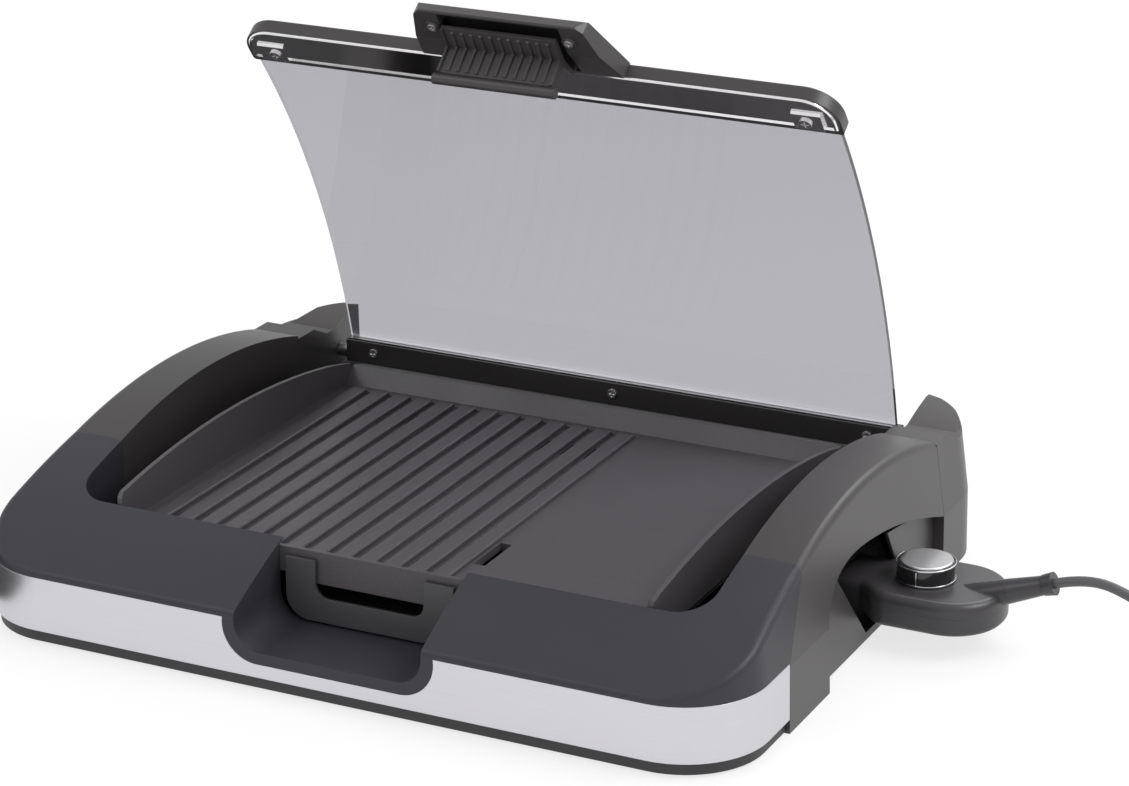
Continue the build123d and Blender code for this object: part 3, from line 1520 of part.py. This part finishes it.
pieces = {
    "lower_tray": lower_tray,
    "front_bezel": front_bezel,
    "steel_band": steel_band,
    "left_arm": left_arm,
    "right_arm": right_arm,
    "left_post": left_post,
    "right_post": right_post,
    "rear_panel": rear_panel,
    "left_side_panel": left_side_panel,
    "right_side_panel": right_side_panel,
    "hinge_bushes": hinge_bushes,
    "rubber_feet": rubber_feet,
    "base_screws": base_screws,
    "grill_plate": grill_plate,
    "heating_element": heating_element,
    "element_clamps": element_clamps,
    "clamp_screws": clamp_screws,
    "heat_reflector": heat_reflector,
    "plate_rests": plate_rests,
    "terminal_socket": terminal_socket,
    "probe_sleeve": probe_sleeve,
    "tray_runners": tray_runners,
    "drip_tray": drip_tray,
    "lid_glass": lid_glass,
    "top_frame": top_frame,
    "frame_liner": frame_liner,
    "frame_clips": frame_clips,
    "clip_screws": clip_screws,
    "handle_hood": handle_hood,
    "handle_grip": handle_grip,
    "handle_screws": handle_screws,
    "rail_front": rail_front,
    "rail_back": rail_back,
    "rail_trim": rail_trim,
    "rail_screws": rail_screws,
    "hinge_pins": hinge_pins,
    "thermostat_top": thermostat_top,
    "thermostat_bottom": thermostat_bottom,
    "thermostat_probe": thermostat_probe,
    "contact_sleeves": contact_sleeves,
    "switch_block": switch_block,
    "thermostat_screws": thermostat_screws,
    "strain_relief": strain_relief,
    "dial_knob": dial_knob,
    "dial_cap": dial_cap,
    "dial_shaft": dial_shaft,
    "mains_cord": mains_cord,
    "cord_coil": cord_coil,
    "cord_tail": cord_tail,
    "mains_plug": mains_plug,
    "plug_pins": plug_pins,
}
for name, shape in pieces.items():
    save(name, shape)
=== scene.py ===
import json
from math import cos, pi, radians, sin

import bpy
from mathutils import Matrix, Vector


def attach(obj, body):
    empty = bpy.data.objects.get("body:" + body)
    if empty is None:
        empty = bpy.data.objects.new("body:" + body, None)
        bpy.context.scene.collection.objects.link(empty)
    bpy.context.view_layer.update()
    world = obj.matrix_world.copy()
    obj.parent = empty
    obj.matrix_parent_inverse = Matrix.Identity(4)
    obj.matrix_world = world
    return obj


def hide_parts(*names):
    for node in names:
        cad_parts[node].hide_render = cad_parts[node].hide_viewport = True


# Countertop electric grill with a hinged glass lid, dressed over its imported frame. Metres, +Z up.

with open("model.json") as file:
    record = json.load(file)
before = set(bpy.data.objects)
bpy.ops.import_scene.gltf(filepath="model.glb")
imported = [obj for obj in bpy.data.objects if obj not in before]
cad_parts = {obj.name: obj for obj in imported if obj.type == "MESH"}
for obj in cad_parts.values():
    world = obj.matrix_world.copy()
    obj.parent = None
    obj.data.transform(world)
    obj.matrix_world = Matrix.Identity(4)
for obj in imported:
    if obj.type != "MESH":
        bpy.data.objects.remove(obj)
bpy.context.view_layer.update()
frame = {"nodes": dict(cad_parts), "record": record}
nodes = frame["nodes"]
scene = bpy.context.scene

# The photograph's view
PHOTO_WIDTH = 1129
CAMERA_PLACE = (1.105, -2.145, 1.0335)
CAMERA_AZIMUTH = 25.99
CAMERA_PITCH = 20.17
CAMERA_FOCAL_PIXELS = 3509.0
CAMERA_REACH = 50
SENSOR_WIDTH = 36.0  # millimetres

# Cord, as routed over the table: thermostat, coil, plug
THERMOSTAT_Y = 0.046
TAIL_Y = 0.054
PLUG_Z = 0.0185
COIL_X = 0.5974
COIL_UPPER_Z = 0.01175
COIL_LOWER_Z = 0.00375
COIL_RADII_IN = (0.046, 0.042, 0.038, 0.034)
COIL_CLIMB_RADIUS = 0.030
COIL_RADII_OUT = (0.034, 0.038, 0.042, 0.046, 0.050)
STEPS_PER_HALF_TURN = 8
CORD_DIAMETER = 0.0074
CORD_EXIT = (0.42036, THERMOSTAT_Y, 0.05714)
CORD_ROUTE = [
    CORD_EXIT,
    (0.44479, THERMOSTAT_Y, 0.06603),
    (0.476, THERMOSTAT_Y, 0.0585),
    (0.512, THERMOSTAT_Y, 0.038),
    (0.550, THERMOSTAT_Y, COIL_UPPER_Z),
    (0.590, THERMOSTAT_Y, COIL_UPPER_Z),
]
TAIL_ROUTE = [
    (0.6048, TAIL_Y, COIL_LOWER_Z),
    (0.6268, TAIL_Y, COIL_LOWER_Z),
    (0.6598, TAIL_Y, PLUG_Z),
    (0.6818, TAIL_Y, PLUG_Z),
]
CORD_FACETS = 5  # extra rows of faces in each quarter of the cord's round
CORD_STEPS = 8  # steps between two points of the route

# Surface of moulded plastic. Scales are in cells per metre, bump depths in metres.
FINE_DETAIL = 2.0
GRAIN_IN_SHEEN = 0.12
FLOW_SCALE = 9.0
FLOW_DETAIL = 4.0
FLOW_IN_SHEEN = 0.08
FLOW_IN_COLOUR = 0.22
GRAIN_DEPTH = 0.0004
COAT_ROUGHNESS = 0.08

# Surface of brushed metal
BRUSH_SCALES = (9.0, 9.0, 2600.0)
BRUSH_ROUGHNESS = 0.6
BRUSH_DEPTH = 0.0002

# Surface of the plate's coating
SPECKLE_SCALE = 1700.0
PEEL_SCALE = 420.0
PATCH_SCALE = 11.0
FLECK_START = 0.58
FLECK_CONTRAST = 5.0
FLECK_SHARE = 0.7
PATCH_IN_SHEEN = 0.22
SPECKLE_IN_HEIGHT = 0.35
COATING_DEPTH = 0.0003

# Glass
GLASS_IOR = 1.5
SMEAR_SCALE = 6.0
SMEAR_IN_SHEEN = 0.006

# Radius of the light that catches on moulded and rolled edges, and on thin bright strips
SOFT_EDGE = 0.0007
SHARP_EDGE = 0.00015
EDGE_SAMPLES = 4

# Bright rings and pointer of the dial
KNOB_CENTRE = (0.3244, THERMOSTAT_Y)
KNOB_RADIUS = 0.021
KNOB_LOW_Z = 0.0439
KNOB_HIGH_Z = 0.0569
RING_HEIGHT = 0.0012
RING_WALL = 0.0008
RING_FACETS = 96
TOP_RING_DROP = 0.0002
FOOT_RING_LIFT = 0.0009
POINTER_WIDTH = 0.0013
POINTER_DEPTH = 0.0012
POINTER_SHORTFALL = 0.003
POINTER_OUT = 0.0001
DIAL_EDGE = RING_WALL / 3
EDGE_SEGMENTS = 3
SMOOTH_ANGLE = 50

# Stage
WHITE = (1, 1, 1, 1)
WHITE_STRENGTH = 1.0
FLOOR_SIZE = 12.0
FLOOR_Z = -0.0002
FLOOR_TINT = (0.92, 0.92, 0.92)
FLOOR_WHITE_SHARE = 0.75
SURROUNDINGS_STRENGTH = 0.75
MATT = 0.9
CARD_TINT = (0.04, 0.04, 0.042)
CARD_PLACE = (-0.58, 0.1, 0.0004)
CARD_SIZE = (0.5, 0.9, 1.0)
LAMPS = [  # name, place, point that it faces, side, power in watts
    ("key_lamp", (1.9, 0.4, 2.2), (0.1, 0, 0.1), 1.4, 38),
    ("fill_lamp", (-1.6, -1.8, 2.4), (0, 0, 0.1), 1.4, 12),
    ("back_lamp", (0.2, 2.2, 2.2), (0, 0.1, 0.2), 1.6, 22),
]


# Camera
def set_camera():
    """Places the camera at the photograph's viewpoint and lens."""
    data = bpy.data.cameras.new("camera")
    data.sensor_width = SENSOR_WIDTH
    data.lens = CAMERA_FOCAL_PIXELS * SENSOR_WIDTH / PHOTO_WIDTH
    data.clip_end = CAMERA_REACH
    camera = bpy.data.objects.new("camera", data)
    camera.location = CAMERA_PLACE
    camera.rotation_euler = (radians(90 - CAMERA_PITCH), 0, radians(CAMERA_AZIMUTH))
    scene.collection.objects.link(camera)
    scene.camera = camera


set_camera()


# Cord
def half_turn(x, top_y, side, radius, z_start, z_end):
    """Points round half a circle, after its start, and where it ends. side 1 goes from +Y to -Y."""
    centre_y = top_y - side * radius
    reach = radius / cos(pi / (2 * STEPS_PER_HALF_TURN))
    points = []
    for i in range(STEPS_PER_HALF_TURN):
        share = (i + 0.5) / STEPS_PER_HALF_TURN
        angle = pi * share
        z = z_start + (z_end - z_start) * share
        points.append((x + side * reach * sin(angle), centre_y + side * reach * cos(angle), z))
    return points, top_y - side * 2 * radius


def coil_points():
    """The coil's turns: in along the upper layer, down in one half turn, out along the lower layer."""
    turns = [(radius, COIL_UPPER_Z, COIL_UPPER_Z) for radius in COIL_RADII_IN]
    turns += [(COIL_CLIMB_RADIUS, COIL_UPPER_Z, COIL_LOWER_Z)]
    turns += [(radius, COIL_LOWER_Z, COIL_LOWER_Z) for radius in COIL_RADII_OUT]
    points = []
    y = THERMOSTAT_Y
    side = 1
    for radius, z_start, z_end in turns:
        turn, y = half_turn(COIL_X, y, side, radius, z_start, z_end)
        points += turn
        side = -side
    return points


def make_cord():
    """One smooth spline from the strain relief through the coil to the plug."""
    points = CORD_ROUTE + coil_points() + TAIL_ROUTE
    curve = bpy.data.curves.new("mains_cord_line", "CURVE")
    curve.dimensions = "3D"
    curve.bevel_depth = CORD_DIAMETER / 2
    curve.bevel_resolution = CORD_FACETS
    curve.resolution_u = CORD_STEPS
    curve.use_fill_caps = True
    spline = curve.splines.new("NURBS")
    spline.points.add(len(points) - 1)
    for point, place in zip(spline.points, points):
        point.co = (*place, 1)
    spline.order_u = 3
    spline.use_endpoint_u = True
    cord = bpy.data.objects.new("mains_cord_line", curve)
    scene.collection.objects.link(cord)
    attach(cord, "thermostat")
    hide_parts("mains_cord", "cord_coil", "cord_tail")
    return cord


cord = make_cord()


# Effects that several finishes share
def new_effect(name, inputs, outputs):
    """An empty shader node group with named sockets; gives the group, its input and its output node."""
    group = bpy.data.node_groups.new(name, "ShaderNodeTree")
    for label, kind, value in inputs:
        socket = group.interface.new_socket(name=label, in_out="INPUT", socket_type=kind)
        socket.default_value = value
    for label, kind in outputs:
        group.interface.new_socket(name=label, in_out="OUTPUT", socket_type=kind)
    start = group.nodes.new("NodeGroupInput")
    end = group.nodes.new("NodeGroupOutput")
    return group, start, end


def math_node(tree, operation, a, b, clamp=False):
    """A Math node fed by sockets or numbers; gives its output."""
    node = tree.nodes.new("ShaderNodeMath")
    node.operation = operation
    node.use_clamp = clamp
    for socket, value in zip(node.inputs, (a, b)):
        if isinstance(value, (int, float)):
            socket.default_value = value
        else:
            tree.links.new(value, socket)
    return node.outputs[0]


def swing_node(tree, factor, amount):
    """A factor between 0 and 1 turned into a change to both sides of nothing, as wide as the amount."""
    return math_node(tree, "MULTIPLY", math_node(tree, "SUBTRACT", factor, 0.5), amount)


def noise_node(tree, vector, scale, detail=3.0, roughness=0.5):
    """A noise texture on the given coordinates; gives its factor."""
    node = tree.nodes.new("ShaderNodeTexNoise")
    node.inputs["Detail"].default_value = detail
    node.inputs["Roughness"].default_value = roughness
    tree.links.new(vector, node.inputs["Vector"])
    if isinstance(scale, (int, float)):
        node.inputs["Scale"].default_value = scale
    else:
        tree.links.new(scale, node.inputs["Scale"])
    return node.outputs["Fac"]


def object_coordinates(tree):
    """The piece's own coordinates."""
    return tree.nodes.new("ShaderNodeTexCoord").outputs["Object"]


def make_grain_effect():
    """Fine moulded grain of tool-etched plastic, with faint flow marks and handling in the sheen."""
    group, start, end = new_effect(
        "moulded_grain",
        [
            ("Tint", "NodeSocketColor", (0.05, 0.05, 0.05, 1)),
            ("Roughness", "NodeSocketFloat", 0.45),
            ("Grain Size", "NodeSocketFloat", 1400.0),
        ],
        [("Color", "NodeSocketColor"), ("Roughness", "NodeSocketFloat"), ("Height", "NodeSocketFloat")],
    )
    place = object_coordinates(group)
    grain = noise_node(group, place, start.outputs["Grain Size"], FINE_DETAIL)
    flow = noise_node(group, place, FLOW_SCALE, FLOW_DETAIL)
    change = swing_node(group, flow, FLOW_IN_SHEEN)
    fine = swing_node(group, grain, GRAIN_IN_SHEEN)
    rough = math_node(group, "ADD", start.outputs["Roughness"], math_node(group, "ADD", change, fine))
    shade = group.nodes.new("ShaderNodeHueSaturation")
    value = math_node(group, "MULTIPLY", flow, FLOW_IN_COLOUR)
    value = math_node(group, "ADD", value, 1 - FLOW_IN_COLOUR / 2)
    group.links.new(value, shade.inputs["Value"])
    group.links.new(start.outputs["Tint"], shade.inputs["Color"])
    group.links.new(shade.outputs["Color"], end.inputs["Color"])
    group.links.new(rough, end.inputs["Roughness"])
    group.links.new(grain, end.inputs["Height"])
    return group


def make_brush_effect():
    """Fine brush lines along X, as on sheet steel, in colour, sheen and height."""
    group, start, end = new_effect(
        "brush_lines",
        [
            ("Tint", "NodeSocketColor", (0.6, 0.6, 0.6, 1)),
            ("Roughness", "NodeSocketFloat", 0.3),
            ("Contrast", "NodeSocketFloat", 0.2),
        ],
        [("Color", "NodeSocketColor"), ("Roughness", "NodeSocketFloat"), ("Height", "NodeSocketFloat")],
    )
    place = object_coordinates(group)
    stretch = group.nodes.new("ShaderNodeMapping")
    stretch.inputs["Scale"].default_value = BRUSH_SCALES
    group.links.new(place, stretch.inputs["Vector"])
    lines = noise_node(group, stretch.outputs["Vector"], 1.0, roughness=BRUSH_ROUGHNESS)
    swing = swing_node(group, lines, start.outputs["Contrast"])
    shade = group.nodes.new("ShaderNodeHueSaturation")
    group.links.new(math_node(group, "ADD", swing, 1.0), shade.inputs["Value"])
    group.links.new(start.outputs["Tint"], shade.inputs["Color"])
    rough = math_node(group, "ADD", start.outputs["Roughness"], swing, clamp=True)
    group.links.new(shade.outputs["Color"], end.inputs["Color"])
    group.links.new(rough, end.inputs["Roughness"])
    group.links.new(lines, end.inputs["Height"])
    return group


def make_coating_effect():
    """Sprayed non-stick coating: fine speckle, orange peel and slightly rubbed patches."""
    group, start, end = new_effect(
        "sprayed_coating",
        [
            ("Tint", "NodeSocketColor", (0.07, 0.065, 0.07, 1)),
            ("Fleck", "NodeSocketColor", (0.16, 0.15, 0.16, 1)),
            ("Roughness", "NodeSocketFloat", 0.5),
        ],
        [("Color", "NodeSocketColor"), ("Roughness", "NodeSocketFloat"), ("Height", "NodeSocketFloat")],
    )
    place = object_coordinates(group)
    speckle = noise_node(group, place, SPECKLE_SCALE, FINE_DETAIL)
    peel = noise_node(group, place, PEEL_SCALE, FINE_DETAIL)
    patch = noise_node(group, place, PATCH_SCALE)
    fleck = math_node(group, "SUBTRACT", speckle, FLECK_START)
    fleck = math_node(group, "MULTIPLY", fleck, FLECK_CONTRAST, clamp=True)
    mix = group.nodes.new("ShaderNodeMix")
    mix.data_type = "RGBA"
    first_colour, second_colour, mixed_colour = mix.inputs[6], mix.inputs[7], mix.outputs[2]
    group.links.new(math_node(group, "MULTIPLY", fleck, FLECK_SHARE), mix.inputs["Factor"])
    group.links.new(start.outputs["Tint"], first_colour)
    group.links.new(start.outputs["Fleck"], second_colour)
    group.links.new(mixed_colour, end.inputs["Color"])
    change = swing_node(group, patch, PATCH_IN_SHEEN)
    rough = math_node(group, "ADD", start.outputs["Roughness"], change)
    group.links.new(rough, end.inputs["Roughness"])
    height = math_node(group, "ADD", peel, math_node(group, "MULTIPLY", speckle, SPECKLE_IN_HEIGHT))
    group.links.new(height, end.inputs["Height"])
    return group


moulded_grain = make_grain_effect()
brush_lines = make_brush_effect()
sprayed_coating = make_coating_effect()


# Finishes
def new_finish(name):
    """A material with a shader and an output; gives it, its node tree and its shader."""
    finish = bpy.data.materials.new(name)
    finish.use_nodes = True
    return finish, finish.node_tree, finish.node_tree.nodes["Principled BSDF"]


def use_effect(tree, shader, effect, values, bump_strength, bump_distance, edge=SOFT_EDGE):
    """Feeds the shader's colour, roughness and normal from an effect placed with its own values."""
    node = tree.nodes.new("ShaderNodeGroup")
    node.node_tree = effect
    for label, value in values.items():
        node.inputs[label].default_value = value
    bump = tree.nodes.new("ShaderNodeBump")
    bump.inputs["Strength"].default_value = bump_strength
    bump.inputs["Distance"].default_value = bump_distance
    soft_edge = tree.nodes.new("ShaderNodeBevel")
    soft_edge.samples = EDGE_SAMPLES
    soft_edge.inputs["Radius"].default_value = edge
    tree.links.new(soft_edge.outputs["Normal"], bump.inputs["Normal"])
    tree.links.new(node.outputs["Height"], bump.inputs["Height"])
    tree.links.new(node.outputs["Color"], shader.inputs["Base Color"])
    tree.links.new(node.outputs["Roughness"], shader.inputs["Roughness"])
    tree.links.new(bump.outputs["Normal"], shader.inputs["Normal"])


def moulded(name, tint, roughness, grain=1400.0, bump=0.12, specular=0.5, coat=0.0):
    """Moulded plastic or rubber."""
    finish, tree, shader = new_finish(name)
    values = {"Tint": (*tint, 1), "Roughness": roughness, "Grain Size": grain}
    use_effect(tree, shader, moulded_grain, values, bump, GRAIN_DEPTH)
    shader.inputs["Specular IOR Level"].default_value = specular
    shader.inputs["Coat Weight"].default_value = coat
    shader.inputs["Coat Roughness"].default_value = COAT_ROUGHNESS
    return finish


def metal(name, tint, roughness, contrast, bump=0.05, anisotropic=0.0, edge=SOFT_EDGE):
    """Brushed or plated metal."""
    finish, tree, shader = new_finish(name)
    values = {"Tint": (*tint, 1), "Roughness": roughness, "Contrast": contrast}
    use_effect(tree, shader, brush_lines, values, bump, BRUSH_DEPTH, edge)
    shader.inputs["Metallic"].default_value = 1.0
    shader.inputs["Anisotropic"].default_value = anisotropic
    return finish


def coating(name, tint, fleck, roughness, bump):
    """Non-stick coating on cast metal."""
    finish, tree, shader = new_finish(name)
    values = {"Tint": (*tint, 1), "Fleck": (*fleck, 1), "Roughness": roughness}
    use_effect(tree, shader, sprayed_coating, values, bump, COATING_DEPTH)
    return finish


def tinted_pane(name, tint, roughness):
    """Grey tinted glass: smooth, with very faint wipe marks."""
    finish, tree, shader = new_finish(name)
    shader.inputs["Base Color"].default_value = (*tint, 1)
    shader.inputs["Transmission Weight"].default_value = 1.0
    shader.inputs["IOR"].default_value = GLASS_IOR
    smear = noise_node(tree, object_coordinates(tree), SMEAR_SCALE, FINE_DETAIL)
    rough = math_node(tree, "ADD", math_node(tree, "MULTIPLY", smear, SMEAR_IN_SHEEN), roughness)
    tree.links.new(rough, shader.inputs["Roughness"])
    return finish


# Each row gives the tint and roughness. A metal adds the contrast of its lines, the coating its flecks
# and bump.
FINISHES = {
    "charcoal_cover": moulded("charcoal_cover", (0.031, 0.031, 0.038), 0.42, specular=0.35),
    "dark_cover": moulded("dark_cover", (0.042, 0.038, 0.039), 0.38),
    "base_plastic": moulded("base_plastic", (0.03, 0.03, 0.033), 0.5),
    "band_steel": metal("band_steel", (0.66, 0.65, 0.68), 0.3, 0.14, anisotropic=0.6),
    "plate_coating": coating("plate_coating", (0.062, 0.056, 0.062), (0.14, 0.13, 0.14), 0.42, 0.18),
    "reflector_metal": metal("reflector_metal", (0.55, 0.55, 0.55), 0.35, 0.2),
    "element_steel": metal("element_steel", (0.12, 0.11, 0.1), 0.45, 0.2),
    "bracket_steel": metal("bracket_steel", (0.5, 0.5, 0.51), 0.3, 0.1),
    "screw_steel": metal("screw_steel", (0.74, 0.73, 0.74), 0.34, 0.08),
    "socket_ceramic": moulded("socket_ceramic", (0.62, 0.6, 0.54), 0.4, bump=0.2),
    "bush_plastic": moulded("bush_plastic", (0.08, 0.08, 0.08), 0.3),
    "foot_rubber": moulded("foot_rubber", (0.025, 0.025, 0.026), 0.7, grain=900.0),
    "tinted_glass": tinted_pane("tinted_glass", (0.48, 0.475, 0.51), 0.004),
    "polished_liner": metal("polished_liner", (0.86, 0.85, 0.86), 0.14, 0.05, edge=SHARP_EDGE),
    "rail_gloss": moulded("rail_gloss", (0.034, 0.031, 0.031), 0.3, bump=0.02, coat=0.4),
    "tray_plastic": moulded("tray_plastic", (0.06, 0.057, 0.062), 0.38),
    "thermostat_plastic": moulded("thermostat_plastic", (0.042, 0.039, 0.043), 0.34),
    "dial_gloss": moulded("dial_gloss", (0.014, 0.014, 0.016), 0.14, bump=0.02, coat=0.5),
    "dial_silver": metal("dial_silver", (0.7, 0.7, 0.72), 0.18, 0.06),
    "cord_sheath": moulded("cord_sheath", (0.085, 0.084, 0.09), 0.42, grain=700.0),
    "plug_metal": metal("plug_metal", (0.68, 0.66, 0.6), 0.2, 0.05),
}

slot_of = {row["node"]: row["material_slot"] for row in frame["record"]["subparts"]}
for name, node in nodes.items():
    node.data.materials.clear()
    node.data.materials.append(FINISHES[slot_of[name]])
cord.data.materials.append(FINISHES["cord_sheath"])


# Small bright parts of the dial
def finished(piece, name, body, slot, bevel):
    """Rounds a new piece's edges, names it and gives it its body, slot and finish."""
    piece.name = name
    bpy.ops.object.select_all(action="DESELECT")
    piece.select_set(True)
    bpy.context.view_layer.objects.active = piece
    bpy.ops.object.transform_apply(location=True, rotation=True, scale=True)
    edge = piece.modifiers.new("soft_edges", "BEVEL")
    edge.width = bevel
    edge.segments = EDGE_SEGMENTS
    bpy.ops.object.modifier_apply(modifier=edge.name)
    bpy.ops.object.shade_smooth_by_angle(angle=radians(SMOOTH_ANGLE))
    piece.data.materials.append(FINISHES[slot])
    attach(piece, body)
    return piece


def make_knob_ring(name, z):
    """Thin bright ring round the dial."""
    bpy.ops.object.select_all(action="DESELECT")
    bpy.ops.mesh.primitive_cylinder_add(
        vertices=RING_FACETS,
        radius=KNOB_RADIUS,
        depth=RING_HEIGHT,
        end_fill_type="NOTHING",
        location=(*KNOB_CENTRE, z),
    )
    ring = bpy.context.active_object
    shell = ring.modifiers.new("wall", "SOLIDIFY")
    shell.thickness = RING_WALL
    shell.offset = 1.0
    bpy.ops.object.modifier_apply(modifier=shell.name)
    return finished(ring, name, "dial", "dial_silver", DIAL_EDGE)


def make_pointer():
    """Pale bar in the dial's side groove."""
    x, y = KNOB_CENTRE
    bpy.ops.object.select_all(action="DESELECT")
    bpy.ops.mesh.primitive_cube_add(
        size=1.0,
        location=(x, y - KNOB_RADIUS - POINTER_OUT, (KNOB_LOW_Z + KNOB_HIGH_Z) / 2),
    )
    bar = bpy.context.active_object
    bar.scale = (POINTER_WIDTH, POINTER_DEPTH, KNOB_HIGH_Z - KNOB_LOW_Z - POINTER_SHORTFALL)
    return finished(bar, "dial_pointer", "dial", "dial_silver", DIAL_EDGE)


make_knob_ring("dial_top_ring", KNOB_HIGH_Z - TOP_RING_DROP)
make_knob_ring("dial_foot_ring", KNOB_LOW_Z + FOOT_RING_LIFT)
make_pointer()


# Floor, surroundings and lamps
def white_in_sight(name, tint, share):
    """Pale finish that shows mostly as plain white, also in reflections and through glass."""
    finish, tree, shader = new_finish(name)
    shader.inputs["Base Color"].default_value = (*tint, 1)
    shader.inputs["Roughness"].default_value = MATT
    ray = tree.nodes.new("ShaderNodeLightPath")
    seen = ray.outputs["Is Camera Ray"]
    for kind in ("Is Glossy Ray", "Is Transmission Ray"):
        seen = math_node(tree, "ADD", seen, ray.outputs[kind], clamp=True)
    white = tree.nodes.new("ShaderNodeEmission")
    white.inputs["Color"].default_value = WHITE
    white.inputs["Strength"].default_value = WHITE_STRENGTH
    mix = tree.nodes.new("ShaderNodeMixShader")
    tree.links.new(math_node(tree, "MULTIPLY", seen, share), mix.inputs["Fac"])
    tree.links.new(shader.outputs["BSDF"], mix.inputs[1])
    tree.links.new(white.outputs["Emission"], mix.inputs[2])
    tree.links.new(mix.outputs["Shader"], tree.nodes["Material Output"].inputs["Surface"])
    return finish


def make_floor():
    """Wide plain floor."""
    bpy.ops.mesh.primitive_plane_add(size=FLOOR_SIZE, location=(0, 0, FLOOR_Z))
    floor = bpy.context.active_object
    floor.name = "floor"
    floor.data.materials.append(white_in_sight("floor_paint", FLOOR_TINT, FLOOR_WHITE_SHARE))


def make_dark_card():
    """Dark card on the floor at the left that shows only in reflections."""
    bpy.ops.mesh.primitive_plane_add(size=1.0, location=CARD_PLACE)
    card = bpy.context.active_object
    card.name = "dark_card"
    card.scale = CARD_SIZE
    card.data.materials.append(moulded("card_paint", CARD_TINT, MATT))
    card.visible_camera = False
    card.visible_diffuse = False
    card.visible_shadow = False
    card.visible_transmission = False


def make_world():
    """Even pale surroundings, white where seen."""
    world = bpy.data.worlds.new("surroundings")
    world.use_nodes = True
    scene.world = world
    tree = world.node_tree
    back = tree.nodes["Background"]
    back.inputs["Color"].default_value = WHITE
    back.inputs["Strength"].default_value = SURROUNDINGS_STRENGTH
    white = tree.nodes.new("ShaderNodeBackground")
    white.inputs["Color"].default_value = WHITE
    white.inputs["Strength"].default_value = WHITE_STRENGTH
    ray = tree.nodes.new("ShaderNodeLightPath")
    mix = tree.nodes.new("ShaderNodeMixShader")
    tree.links.new(ray.outputs["Is Camera Ray"], mix.inputs["Fac"])
    tree.links.new(back.outputs["Background"], mix.inputs[1])
    tree.links.new(white.outputs["Background"], mix.inputs[2])
    tree.links.new(mix.outputs["Shader"], tree.nodes["World Output"].inputs["Surface"])


def make_lamp(name, place, target, size, power):
    """A square soft lamp that faces a point."""
    data = bpy.data.lights.new(name, "AREA")
    data.shape = "SQUARE"
    data.size = size
    data.energy = power
    lamp = bpy.data.objects.new(name, data)
    lamp.location = place
    aim = Vector(target) - Vector(place)
    lamp.rotation_euler = aim.to_track_quat("-Z", "Y").to_euler()
    scene.collection.objects.link(lamp)


make_floor()
make_dark_card()
make_world()
for lamp in LAMPS:
    make_lamp(*lamp)
scene.view_settings.view_transform = "Standard"
